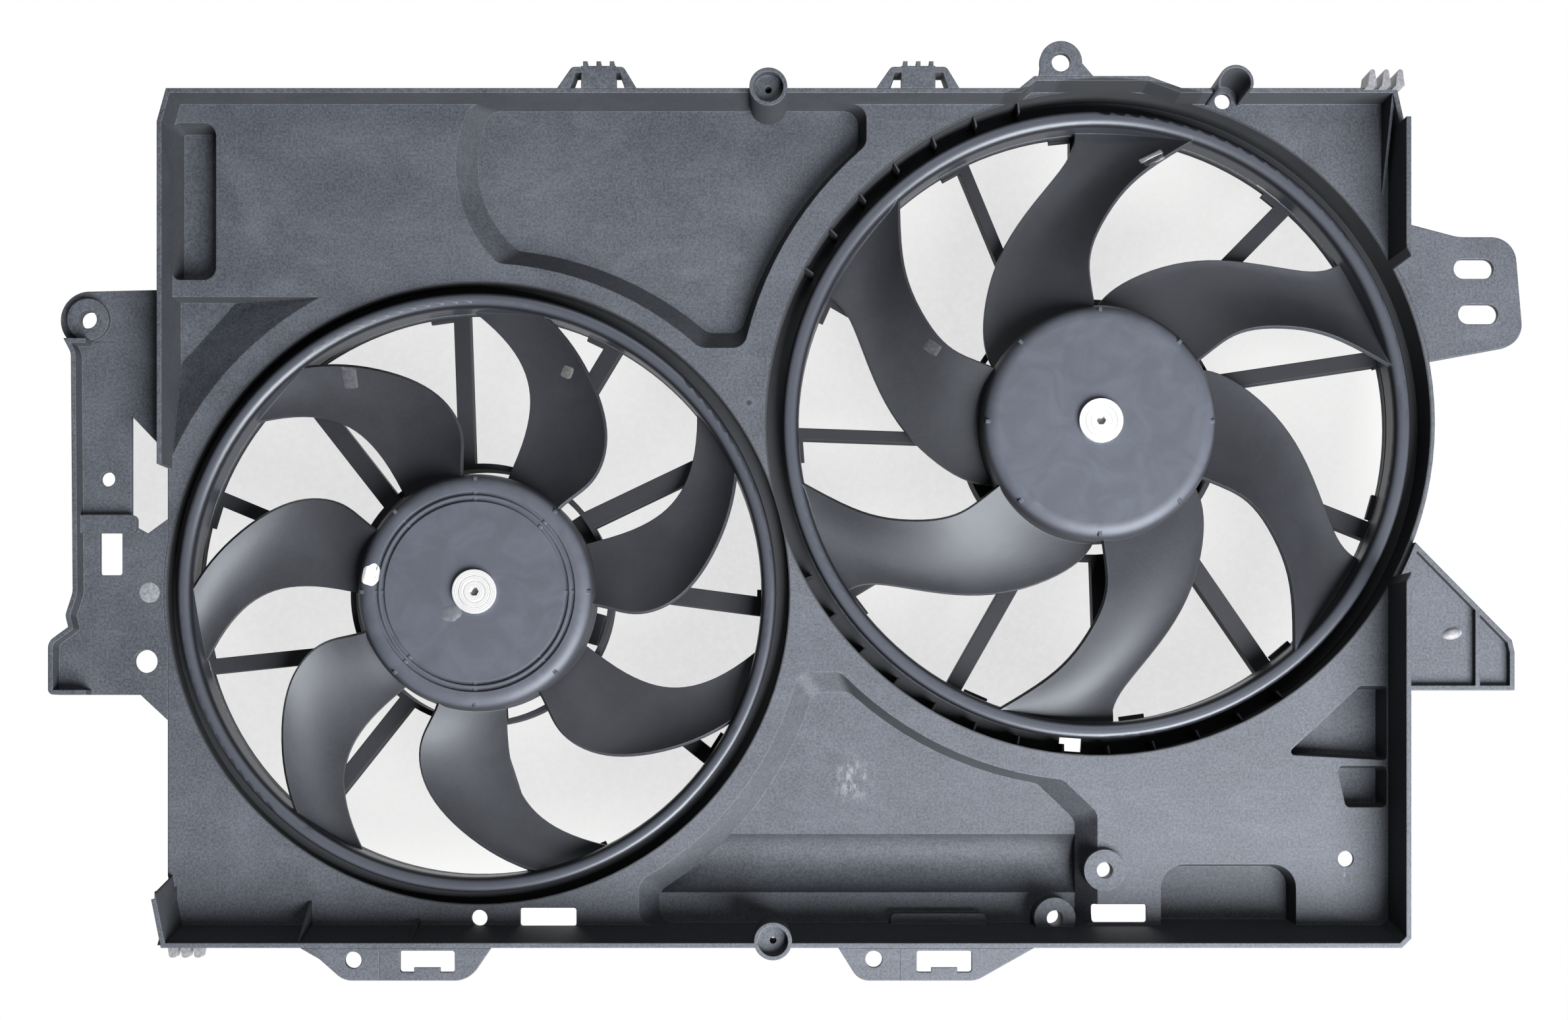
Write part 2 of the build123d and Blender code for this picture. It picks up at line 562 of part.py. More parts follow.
def top_clips():
    """The arches on the top edge with their combs."""
    clips = Part()
    top = BODY_TOP + ARCH_RISE
    for left, right, comb in CLIP_ARCHES:
        face = outline((left, BODY_TOP), (left + 8, top, 3), (right - 7, top, 3), (right, BODY_TOP))
        face -= outline((left + 7, BODY_TOP), (left + 10, top - 3), (right - 9, top - 3),
                        (right - 6, BODY_TOP))
        clips += slab(face, TOP_EDGE, TOP_EDGE + 12)
        clips += box(*comb, BODY_TOP, top + 0.5, TOP_EDGE, TOP_EDGE + 5)
        for place in (0.12, 0.5, 0.88):
            middle = comb[0] + place * (comb[1] - comb[0])
            clips += box(middle - 1.2, middle + 1.2, BODY_TOP, BODY_TOP + COMB_RISE, TOP_EDGE, TOP_EDGE + 5)
    return clips


# Fans
def blade(fan):
    """One swept blade: a curved sheet through its stations, thickened, from the hub to the ring."""
    root = HUB_R - 0.5 * HUB_T
    tip = fan.ring_r + 0.5 * RING_T
    stations = len(fan.lead)
    rows = []
    for index in range(stations):
        part = index / (stations - 1)
        radius = root + (tip - root) * part
        front = fan.lead_y[0] + (fan.lead_y[1] - fan.lead_y[0]) * part
        rear = fan.trail_y[0] + (fan.trail_y[1] - fan.trail_y[0]) * part
        row = []
        for step in range(5):
            across = step / 4
            angle = fan.blade_at + fan.lead[index] + (fan.trail[index] - fan.lead[index]) * across
            x, z = around(fan, radius, angle)
            depth = front + (rear - front) * across + fan.camber * 4 * across * (1 - across)
            row.append(Vector(x, depth, z))
        rows.append(row)
    sheet = Face.make_surface_from_array_of_points(rows)
    return thicken(sheet, amount=BLADE_T / 2, both=True)


def hub_shell(fan):
    """The hub: a round cup with a rounded edge, open to the back."""
    back = fan.hub_back
    cup = disc(fan.x, fan.z, HUB_R, fan.hub_front, back)
    front_edge = cup.edges().filter_by(GeomType.CIRCLE).sort_by(Axis.Y)[0]
    cup = fillet(front_edge, fan.hub_edge)
    hollow = disc(fan.x, fan.z, HUB_R - HUB_T, fan.hub_front + HUB_T, back + 1)
    inner_edge = hollow.edges().filter_by(GeomType.CIRCLE).sort_by(Axis.Y)[0]
    hollow = fillet(inner_edge, max(fan.hub_edge - HUB_T, 0.5))
    cup -= hollow
    if fan.hub_groove:
        inner, outer = fan.hub_groove
        middle = (inner + outer) / 2
        cup -= tube(fan.x, fan.z, outer, inner, fan.hub_front - 1, fan.hub_front + 1.4)
        cup += tube(fan.x, fan.z, middle + 0.7, middle - 0.7, fan.hub_front, fan.hub_front + 2)
    return cup


def ring(fan):
    """The fan's outer ring, with a bell mouth that curls back at its edge."""
    inner = fan.ring_r
    outer = fan.lip_r
    front = fan.lip_y
    thick = RING_T
    profile = outline(
        (inner, front, BELL_R), (outer, front, BELL_CURL_R), (outer, front + BELL_CURL),
        (outer - thick, front + BELL_CURL), (outer - thick, front + thick, BELL_CURL_R - thick),
        (inner + thick, front + thick, BELL_R - thick), (inner + thick, front + fan.ring_length),
        (inner, front + fan.ring_length))
    return turned(fan, profile)


def fan_moulding(fan):
    """Hub, blades and outer ring in one piece, with ribs and a boss inside the hub."""
    body = hub_shell(fan)
    body += disc(fan.x, fan.z, INSERT_R + 4, fan.hub_front + 1, fan.can_y - 3)
    for index in range(HUB_RIB_COUNT):
        turn = Rot(0, 0, index * 360 / HUB_RIB_COUNT)
        rib = Pos(fan.x, fan.z) * (turn * (Pos(36, 0) * Rectangle(54, HUB_RIB_T)))
        body += slab(rib, fan.hub_front + 1, fan.can_y - 4)
    body += ring(fan)
    single = blade(fan)
    for index in range(fan.blades):
        turn = Axis((fan.x, 0, fan.z), (0, -1, 0))
        body += single.rotate(turn, index * 360 / fan.blades)
    body -= disc(fan.x, fan.z, INSERT_R, fan.hub_front - 1, fan.can_y)
    return body


def insert(fan):
    """The steel sleeve moulded into the hub."""
    return tube(fan.x, fan.z, INSERT_R, SHAFT_R, fan.hub_front, fan.can_y - 3)


def shaft_disc(fan):
    """The bright retaining disc on the shaft's end, with a six-sided socket."""
    face = Circle(DISC_R) - RegularPolygon(2.6, 6)
    return slab(Pos(fan.x, fan.z) * face, fan.hub_front - DISC_T, fan.hub_front)


def shaft(fan):
    """The motor shaft, from the hub's face to the rear bush."""
    return disc(fan.x, fan.z, SHAFT_R, fan.hub_front, fan.cap_y + CAP_T - CAP_SKIN - SIDE_PLAY)


def balance_clips(fan):
    """Two thin clips on the ring's rear edge."""
    clips = Part()
    rear = fan.lip_y + fan.ring_length
    band = Circle(fan.ring_r + RING_T) - Circle(fan.ring_r)
    for angle in (fan.blade_at + 20, fan.blade_at + 200):
        block = Rot(0, 0, angle) * (Pos(fan.ring_r, 0) * Rectangle(20, CLIP_WIDTH))
        clips += slab(Pos(fan.x, fan.z) * (band & block), rear, rear + CLIP_T)
    return clips


# Motors
def motor_can(fan):
    """The drawn steel can, with the front bearing's seat."""
    can = disc(fan.x, fan.z, CAN_R, fan.can_y, fan.cap_y)
    can -= disc(fan.x, fan.z, CAN_R - CAN_T, fan.can_y + CAN_T, fan.cap_y + 1)
    can += disc(fan.x, fan.z, BUSH_R + CAN_T, fan.can_y, fan.can_y + BUSH_LENGTH)
    return can - disc(fan.x, fan.z, BUSH_R, fan.can_y - 1, fan.can_y + BUSH_LENGTH + 1)


def bush(fan, front):
    """A sintered bearing bush."""
    return tube(fan.x, fan.z, BUSH_R, SHAFT_R + RUN_FIT, front, front + BUSH_LENGTH)


def rear_bush_y(fan):
    """Where the rear bush starts."""
    return fan.cap_y + CAP_T - CAP_SKIN - BUSH_LENGTH


def end_cap(fan):
    """The rear cap, with the pocket that carries the rear bush."""
    cap = disc(fan.x, fan.z, CAN_R, fan.cap_y, fan.cap_y + CAP_T)
    cap += disc(fan.x, fan.z, BUSH_R + CAN_T, rear_bush_y(fan), fan.cap_y + 1)
    return cap - disc(fan.x, fan.z, BUSH_R, rear_bush_y(fan) - 1, fan.cap_y + CAP_T - CAP_SKIN)


def motor_flange(fan):
    """The pressed flange round the can, with three ears that rest on the lugs."""
    face = Circle(CAN_R + 6)
    for index in range(LUG_COUNT):
        turn = Rot(0, 0, fan.first_lug + index * 360 / LUG_COUNT)
        face += turn * (Pos(LUG_CIRCLE_R, 0) * Circle(LUG_R - 1.5))
        face += turn * (Pos(LUG_CIRCLE_R - 8, 0) * Rectangle(16, 2 * LUG_R - 3))
    face -= Circle(CAN_R)
    for index in range(LUG_COUNT):
        turn = Rot(0, 0, fan.first_lug + index * 360 / LUG_COUNT)
        face -= turn * (Pos(LUG_CIRCLE_R, 0) * Circle(EAR_SCREW_R))
    return slab(Pos(fan.x, fan.z) * face, fan.flange_y, fan.flange_y + FLANGE_T)


def motor_screws(fan):
    """Three flat-headed screws through the flange's ears into the lugs."""
    screws = Part()
    for index in range(LUG_COUNT):
        x, z = around(fan, LUG_CIRCLE_R, fan.first_lug + index * 360 / LUG_COUNT)
        seat = fan.flange_y + FLANGE_T
        screws += disc(x, z, EAR_SCREW_R, seat - SCREW_LENGTH, seat)
        screws += disc(x, z, SCREW_HEAD_R, seat, seat + SCREW_HEAD_T)
    return screws


def magnets(fan):
    """Four curved magnets held to the can's wall."""
    start = fan.can_y + CAN_T + 4
    ring = Circle(CAN_R - CAN_T) - Circle(CAN_R - CAN_T - MAGNET_T)
    gaps = Rectangle(8, 200) + Rectangle(200, 8)
    return slab(Pos(fan.x, fan.z) * (ring - gaps), start, start + MAGNET_LENGTH)


def core_r():
    """The armature's radius, one air gap inside the magnets."""
    return CAN_R - CAN_T - MAGNET_T - AIR_GAP


def core_y(fan):
    """Where the armature core starts, just behind the front bearing's seat."""
    return fan.can_y + BUSH_LENGTH + HEAD_GAP


def armature_core(fan):
    """The slotted steel core on the shaft."""
    start = core_y(fan)
    face = Circle(core_r()) - Circle(SHAFT_R)
    for index in range(12):
        face -= Rot(0, 0, index * 30) * (Pos(core_r() - 5, 0) * Rectangle(10.5, 3.2))
    return slab(Pos(fan.x, fan.z) * face, start, start + CORE_LENGTH)


def windings(fan):
    """The two winding heads, one at each end of the core."""
    start = core_y(fan)
    end = start + CORE_LENGTH
    inner = BUSH_R + CAN_T + HEAD_GAP
    front_head = tube(fan.x, fan.z, core_r() - 6, inner, start - HEAD_LENGTH, start)
    rear_head = tube(fan.x, fan.z, core_r() - 6, inner, end, end + HEAD_LENGTH)
    return Part() + [front_head, rear_head]


def commutator_y(fan):
    """Where the commutator starts."""
    return core_y(fan) + CORE_LENGTH + HEAD_LENGTH


def commutator_length(fan):
    """The commutator's length, up to the rear bush's pocket."""
    return rear_bush_y(fan) - 0.6 - commutator_y(fan)


def commutator(fan):
    """The commutator barrel."""
    start = commutator_y(fan)
    return tube(fan.x, fan.z, COMMUTATOR_R, SHAFT_R, start, start + commutator_length(fan))


def brush_y(fan):
    """The middle of the brush track."""
    return commutator_y(fan) + 0.5 * commutator_length(fan)


def brushes(fan):
    """Two carbon brushes, one each side of the commutator."""
    start = COMMUTATOR_R + BRUSH_GAP
    face = Pos(start + 6, 0) * Rectangle(12, BRUSH_WIDTH) + Pos(-start - 6, 0) * Rectangle(12, BRUSH_WIDTH)
    return slab(Pos(fan.x, fan.z) * face, brush_y(fan) - 2, brush_y(fan) + 2)


def brush_card(fan):
    """The plate that carries the brushes on the end cap."""
    face = Circle(CAN_R - CAN_T) - Circle(COMMUTATOR_R + 3)
    return slab(Pos(fan.x, fan.z) * face, brush_y(fan) + 2, fan.cap_y)


def connector_inlet(fan):
    """The motor's plug socket: a small open shell on the can's side, behind the holder."""
    tip = CAN_R + PLUG_REACH
    shell = Pos(tip / 2, 0) * Rectangle(tip, PLUG_WIDTH) - Circle(CAN_R)
    start = fan.cap_y - PLUG_HEIGHT
    turn = Pos(fan.x, fan.z) * Rot(0, 0, -16)
    body = slab(turn * shell, start, start + PLUG_HEIGHT)
    hollow = Pos(tip, 0) * Rectangle(2 * PLUG_REACH - 10, PLUG_WIDTH - 2 * PLUG_WALL)
    return body - slab(turn * hollow, start + PLUG_WALL, start + PLUG_HEIGHT - PLUG_WALL)


os.makedirs("parts", exist_ok=True)
save(shroud_panel(), "shroud_panel")
save(left_arm_bracket(), "left_arm_bracket")
save(left_ear(), "left_ear")
save(top_ear(), "top_ear")
save(low_left_ear(), "low_left_ear")
save(low_right_ear(), "low_right_ear")
save(clip_bracket(LOW_LEFT_EAR[0] + 14, -158.0, 12.0, -207.0, -177.5), "low_left_bracket")
save(clip_bracket(LOW_RIGHT_EAR[0] + 14, 133.0, 31.0, 70.0, 99.5), "low_right_bracket")
save(right_upper_bracket(), "right_upper_bracket")
save(right_lower_bracket(), "right_lower_bracket")
save(top_clips(), "top_clips")
for fan in FANS:
    save(spider(fan), f"{fan.name}_spider")
    save(fan_moulding(fan), f"{fan.name}_fan")
    save(insert(fan), f"{fan.name}_hub_insert")
    save(shaft_disc(fan), f"{fan.name}_shaft_disc")
    save(shaft(fan), f"{fan.name}_shaft")
    save(balance_clips(fan), f"{fan.name}_balance_clips")
    save(motor_can(fan), f"{fan.name}_motor_can")
    save(bush(fan, fan.can_y), f"{fan.name}_front_bush")
    save(bush(fan, rear_bush_y(fan)), f"{fan.name}_rear_bush")
    save(end_cap(fan), f"{fan.name}_end_cap")
    save(motor_flange(fan), f"{fan.name}_motor_flange")
    save(motor_screws(fan), f"{fan.name}_motor_screws")
    save(magnets(fan), f"{fan.name}_magnets")
    save(armature_core(fan), f"{fan.name}_armature_core")
    save(windings(fan), f"{fan.name}_windings")
    save(commutator(fan), f"{fan.name}_commutator")
    save(brushes(fan), f"{fan.name}_brushes")
    save(brush_card(fan), f"{fan.name}_brush_card")
    save(connector_inlet(fan), f"{fan.name}_connector_inlet")
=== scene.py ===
from collections import namedtuple
from math import copysign, cos, pi, radians, sin

import bmesh
import bpy
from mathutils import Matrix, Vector
from mathutils.bvhtree import BVHTree
from bpy.props import FloatProperty, FloatVectorProperty, IntProperty, PointerProperty


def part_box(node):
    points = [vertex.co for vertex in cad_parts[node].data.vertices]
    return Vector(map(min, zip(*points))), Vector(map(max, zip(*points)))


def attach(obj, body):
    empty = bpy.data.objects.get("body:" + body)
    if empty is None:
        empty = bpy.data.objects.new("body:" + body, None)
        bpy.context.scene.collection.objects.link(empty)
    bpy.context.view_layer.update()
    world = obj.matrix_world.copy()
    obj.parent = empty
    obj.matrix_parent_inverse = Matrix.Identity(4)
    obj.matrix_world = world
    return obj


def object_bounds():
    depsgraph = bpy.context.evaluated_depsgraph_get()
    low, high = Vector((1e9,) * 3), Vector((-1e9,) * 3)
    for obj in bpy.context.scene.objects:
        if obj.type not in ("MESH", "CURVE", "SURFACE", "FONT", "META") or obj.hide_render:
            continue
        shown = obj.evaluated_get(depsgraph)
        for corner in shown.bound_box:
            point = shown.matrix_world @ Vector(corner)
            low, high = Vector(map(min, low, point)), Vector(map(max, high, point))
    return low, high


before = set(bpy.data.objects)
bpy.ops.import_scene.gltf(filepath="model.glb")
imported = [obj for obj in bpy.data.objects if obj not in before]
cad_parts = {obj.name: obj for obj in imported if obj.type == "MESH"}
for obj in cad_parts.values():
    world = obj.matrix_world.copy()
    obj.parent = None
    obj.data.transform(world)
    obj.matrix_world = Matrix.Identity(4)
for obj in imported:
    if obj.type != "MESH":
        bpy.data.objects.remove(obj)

bl_info = {
    "name": "Cooling fan assembly finish",
    "version": (1, 0, 0),
    "blender": (4, 5, 0),
    "location": "3D View > Sidebar > Cooling Fans",
    "description": "Dresses a twin radiator fan assembly: shroud, swept fans, motors, marks and a light stage",
    "category": "Object",
}

CAD_LOW, CAD_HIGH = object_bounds()
SIDES = ("left", "right")
SHROUD_NODES = [
    "shroud_panel", "left_arm_bracket", "left_ear", "top_ear", "low_left_ear", "low_right_ear",
    "low_left_bracket", "low_right_bracket", "right_upper_bracket", "right_lower_bracket", "top_clips",
    "left_spider", "right_spider", "left_connector_inlet", "right_connector_inlet",
]

# Places in metres: the camera, and then along X and Z the open gap beside the left arm, a scuff and a pin mark
CAMERA = Vector((-0.0053, -0.971, -0.1098))
ARM_GAP_X = (-0.392, -0.362)
ARM_GAP_Z = (-0.002, 0.09)
SCUFF = (0.0378, -0.1425)
PIN_MARK = (-0.0202, 0.0661)

# Sizes of the fans, in metres, that their boxes don't tell
HUB_R = 0.0651
LIP_WIDTH = {"left": 0.0084, "right": 0.0092}
GAP = {"left": 0.007, "right": 0.0088}

# Fixed tones: the tint of the plastics' shine, the painted shade of walls that get no light, the painted shade
# in the barrel gaps and on the struts, and scuffs
SHINE = (0.88, 0.94, 1.0)
UNLIT = (0.004, 0.004, 0.005)
GAP_SHADE = (0.006, 0.006, 0.007)
STRUT_SHADE = (0.01, 0.01, 0.012)
SCUFF_TONE = (0.34, 0.35, 0.37)


def axis_of(side):
    """A fan's axis, read from its shaft: its place along X and Z."""
    low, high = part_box(f"{side}_shaft")
    return (low.x + high.x) / 2, (low.z + high.z) / 2


def lip_of(side):
    """The outer radius of a fan's bell mouth, read from the fan."""
    low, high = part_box(f"{side}_fan")
    return (high.x - low.x) / 2


AXES = {side: axis_of(side) for side in SIDES}
LIP_R = {side: lip_of(side) for side in SIDES}
RING_R = {side: LIP_R[side] - LIP_WIDTH[side] for side in SIDES}


# Sizes and colours

def colour(name, description, default):
    """A colour that a user may change."""
    return FloatVectorProperty(name=name, description=description, default=default, size=3, min=0.0,
                               max=1.0, subtype="COLOR")


def length(name, description, default):
    """A length in metres that a user may change."""
    return FloatProperty(name=name, description=description, default=default, min=0.0, unit="LENGTH",
                         precision=5)


def share(name, description, default):
    """A share from nothing to whole."""
    return FloatProperty(name=name, description=description, default=default, min=0.0, max=1.0,
                         subtype="FACTOR")


def power(name, description, default):
    """The power of a lamp."""
    return FloatProperty(name=name, description=description, default=default, min=0.0, unit="POWER")


class ShroudFinish(bpy.types.PropertyGroup):
    """The moulded plastic of the shroud."""

    tone: colour("Plastic", "The glass-filled plastic where it is clean", (0.0145, 0.016, 0.0205))
    pale: colour("Bloom", "The paler bloom that clouds the faces", (0.07, 0.076, 0.094))
    # Painted shade: the struts and connector inlets are darkened by this share, for the shadow of the rings and
    # blades they lie in
    strut: share("Strut shade", "How much darker the struts are than the plate", 0.95)
    cloud: length("Cloud size", "Size of the faint clouds in the plastic", 0.045)
    grain: length("Grain size", "Size of the moulded grain", 0.0011)
    gloss: share("Roughness", "How dull the faces are", 0.58)
    edge: length("Edge radius", "Radius that softens every moulded edge", 0.0008)


class FanFinish(bpy.types.PropertyGroup):
    """The plastic of the two fans."""

    tone: colour("Blade plastic", "The plain dark plastic of the blades", (0.0155, 0.0163, 0.0195))
    pale: colour("Hub bloom", "The paler bloom on the hubs", (0.055, 0.061, 0.077))
    gloss: share("Roughness", "How dull the blades are", 0.4)
    lip_gloss: share("Lip roughness", "How dull the outer ring is", 0.27)
    edge: length("Edge radius", "Radius that softens the blades' edges", 0.0007)


class MetalFinish(bpy.types.PropertyGroup):
    """The metals of the motors and fixings."""

    zinc: colour("Zinc", "Bright zinc plate", (0.8, 0.8, 0.81))
    enamel: colour("Can enamel", "The black enamel of the motor cans", (0.03, 0.03, 0.033))
    copper: colour("Copper", "Enamelled winding wire", (0.6, 0.26, 0.12))
    bronze: colour("Bronze", "Sintered bearing bronze", (0.44, 0.3, 0.14))


class MarkSizes(bpy.types.PropertyGroup):
    """Small pieces and marks."""

    rib_count: IntProperty(name="Barrel ribs", default=45, min=3,
                           description="Ribs round the right barrel, if they went all round")
    rib_width: length("Rib width", "Thickness of each barrel rib", 0.0011)
    paint: colour("Paint dab", "The white dab of balancing paint", (0.86, 0.86, 0.84))


class StageLook(bpy.types.PropertyGroup):
    """Floor, lamps and camera."""

    floor: colour("Floor", "The pale grained floor", (0.3, 0.299, 0.291))
    speck: length("Floor grain", "Size of the floor's grain", 0.003)
    key: power("Key lamp", "Power of the large soft lamp at the lower right", 188.0)
    fill: power("Fill lamp", "Power of the soft lamp above the right fan", 8.0)
    back: power("Back lamp", "Power of the lamp behind the motors", 48.0)
    sky: share("Room light", "Strength of the even light from all round", 0.1)
    lens: FloatProperty(name="Lens", description="Focal length in millimetres", default=41.61, min=10.0)


# Shader maths: values that Python's operators turn into Math nodes

class Value:
    """One number socket of a finish. Arithmetic on it adds Math nodes."""

    def __init__(self, finish, socket):
        self.finish = finish
        self.socket = socket

    def math(self, operation, *terms, clamp=False):
        """One Math node on the given terms."""
        sockets = dict(enumerate(terms))
        return self.finish.node("ShaderNodeMath", {"operation": operation, "use_clamp": clamp}, sockets)

    def __add__(self, other):
        return self.math("ADD", self, other)

    def __radd__(self, other):
        return self.math("ADD", other, self)

    def __sub__(self, other):
        return self.math("SUBTRACT", self, other)

    def __rsub__(self, other):
        return self.math("SUBTRACT", other, self)

    def __mul__(self, other):
        return self.math("MULTIPLY", self, other)

    def __rmul__(self, other):
        return self.math("MULTIPLY", other, self)

    def __pow__(self, other):
        return self.math("POWER", self, other)

    def __abs__(self):
        return self.math("ABSOLUTE", self)

    def __and__(self, other):
        return self.math("MULTIPLY", self, other, clamp=True)

    def __or__(self, other):
        return self.math("MAXIMUM", self, other, clamp=True)

    def sine(self):
        return self.math("SINE", self)

    def ramp(self, low, high):
        """0 below low, 1 above high, and smooth between."""
        return self.finish.node("ShaderNodeMapRange", {"interpolation_type": "SMOOTHSTEP"},
                                {"Value": self, "From Min": low, "From Max": high})

    def band(self, low, high, soft):
        """1 between low and high, fading over a soft edge."""
        return self.ramp(low - soft, low + soft) * (1.0 - self.ramp(high - soft, high + soft))


class Finish:
    """One material and the nodes in it."""

    def __init__(self, name):
        self.material = bpy.data.materials.new(name)
        self.material.use_nodes = True
        self.tree = self.material.node_tree
        self.tree.nodes.clear()
        place = self.node("ShaderNodeTexCoord", out="Object")
        self.place = place
        split = self.node("ShaderNodeSeparateXYZ", {}, {0: place}, out=None)
        self.x, self.y, self.z = (Value(self, socket) for socket in split.outputs)

    def node(self, kind, settings=None, sockets=None, out=0):
        """Adds one node: its settings first, then its sockets' values or links."""
        made = self.tree.nodes.new(kind)
        for key, value in (settings or {}).items():
            setattr(made, key, value)
        for key, value in (sockets or {}).items():
            socket = made.inputs[key]
            if isinstance(value, Value):
                self.tree.links.new(value.socket, socket)
            elif hasattr(value, "__len__") and len(value) == 3 and len(socket.default_value) == 4:
                socket.default_value = (*value, 1.0)
            else:
                socket.default_value = value
        return made if out is None else Value(self, made.outputs[out])

    def noise(self, size, detail=3.0, rough=0.55, stretch=None, warp=0.0):
        """Noise whose features are about as large as size, in metres."""
        place = self.place
        if stretch:
            place = self.node("ShaderNodeMapping", {}, {"Vector": place, "Scale": stretch})
        return self.node("ShaderNodeTexNoise", {}, {"Vector": place, "Scale": 1.0 / size, "Detail": detail,
                                                    "Roughness": rough, "Distortion": warp})

    def blend(self, amount, first, second):
        """Two colours mixed by an amount."""
        return self.node("ShaderNodeMix", {"data_type": "RGBA", "blend_type": "MIX"},
                         {0: amount, 6: first, 7: second}, out=2)

    def radius(self, side):
        """Distance from a fan's axis."""
        x, z = AXES[side]
        dx, dz = self.x - x, self.z - z
        return (dx * dx + dz * dz) ** 0.5

    def angle(self, side):
        """Angle round a fan's axis, in radians from -pi to pi."""
        x, z = AXES[side]
        return self.x.math("ARCTAN2", self.z - z, self.x - x)

    def reach(self, x, z):
        """Distance from a point of the front view."""
        dx, dz = self.x - x, self.z - z
        return (dx * dx + dz * dz) ** 0.5

    def turned_back(self):
        """-1 on faces that look to the front, 0 on walls that run along Y, 1 on faces that look to the back."""
        normal = self.node("ShaderNodeNewGeometry", out="Normal")
        return self.node("ShaderNodeSeparateXYZ", {}, {0: normal}, out=1)

    def facing(self):
        """1 on faces that look straight to the front or back, 0 on walls that run along Y."""
        return abs(self.turned_back())

    def spot(self, x, z, size, soft=0.4):
        """1 inside a round spot at a place on the front, 0 outside."""
        return 1.0 - self.reach(x, z).ramp(size * (1.0 - soft), size)

    def normal(self, height=None, depth=0.0002, edge=0.0, strength=1.0):
        """A normal from a height, over edges that are rounded to a radius."""
        sockets = {"Strength": strength, "Distance": depth}
        if height is not None:
            sockets["Height"] = height
        if edge:
            sockets["Normal"] = self.node("ShaderNodeBevel", {"samples": 6}, {"Radius": edge})
            if height is None:
                return sockets["Normal"]
        return self.node("ShaderNodeBump", {}, sockets)

    def surface(self, **sockets):
        """The shader that closes the material."""
        names = {key.replace("_", " ").title().replace("Ior", "IOR"): value for key, value in sockets.items()}
        shader = self.node("ShaderNodeBsdfPrincipled", {}, names)
        self.node("ShaderNodeOutputMaterial", {}, {"Surface": shader}, out=None)
        return self.material


def dress(names, material):
    """Gives CAD nodes a finished material."""
    for name in names:
        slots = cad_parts[name].material_slots
        if not slots:
            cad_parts[name].data.materials.append(material)
        for slot in slots:
            slot.link = "OBJECT"
            slot.material = material


def shroud_plastic(look, name, painted_shade=0.0):
    """Glass-filled black plastic: faint clouds, moulded grain, dull bloom and light handling marks, with
    painted shade on side-on walls, in the barrel gaps and on the struts.
    """
    finish = Finish(name)
    cloud = finish.noise(look.cloud, 4.0, 0.6, warp=0.6)
    fleck = finish.noise(look.grain * 1.2, 2.0, 0.8)
    grain = finish.noise(look.grain * 0.5, 2.0, 0.6)
    flow = finish.noise(0.012, 3.0, 0.6, stretch=(0.35, 1.0, 1.0), warp=1.2)
    mottle = finish.noise(look.grain * 2.4, 3.0, 0.75)
    shade = cloud.ramp(0.3, 0.72) * 0.22 + fleck.ramp(0.3, 0.7) * 0.42 + mottle.ramp(0.34, 0.66) * 0.14
    shade = shade + flow.ramp(0.45, 0.8) * 0.15
    tone = finish.blend(shade, look.tone, look.pale)
    scratch = finish.noise(0.006, 6.0, 0.7, stretch=(1.0, 1.0, 0.12), warp=2.0).ramp(0.66, 0.74)
    scuff = scratch * finish.noise(0.09, 2.0).ramp(0.56, 0.7)
    front = 1.0 - finish.turned_back().ramp(-0.5, 0.0)
    streaks = finish.noise(0.0035, 4.0, 0.7, stretch=(1.0, 1.0, 0.5)).ramp(0.46, 0.62)
    rub = front * finish.spot(*SCUFF, 0.016, 1.0) * streaks
    tone = finish.blend((scuff * 0.3) | (rub * 0.3), tone, SCUFF_TONE)
    dot = finish.spot(*PIN_MARK, 0.0017, 0.3)
    tone = finish.blend(finish.spot(*PIN_MARK, 0.0045, 0.5) * 0.25, tone, look.pale)
    tone = finish.blend(dot * 0.9, tone, UNLIT)
    # Painted shade: the narrow gap between each fan's lip and its barrel is darkened, as little light reaches
    # down into it
    gap_shade = [finish.radius(side).band(LIP_R[side], LIP_R[side] + GAP[side] + 0.0008, 0.0003) for side in SIDES]
    tone = finish.blend((gap_shade[0] | gap_shade[1]) * 0.92, tone, GAP_SHADE)
    # Painted shade: struts, inlets and barrel ribs are blended towards a dark tone by the given share, for the
    # shadow they lie in
    tone = finish.blend(painted_shade, tone, STRUT_SHADE)
    # Painted shade: faces that turn side-on to the front, such as walls and slopes, are darkened nearly to
    # black
    side_on = 1.0 - finish.facing().ramp(0.42, 0.97)
    tone = finish.blend(side_on * 0.8, tone, UNLIT)
    dull = look.gloss + cloud.ramp(0.3, 0.7) * 0.1 + fleck * 0.06 - scuff * 0.08 + side_on * 0.15
    normal = finish.normal(grain * 0.6 + fleck * 0.4, 0.00012, look.edge, 0.35)
    return finish.surface(base_color=tone, roughness=dull, specular_ior_level=0.25 if painted_shade else 0.6,
                          specular_tint=SHINE, normal=normal)


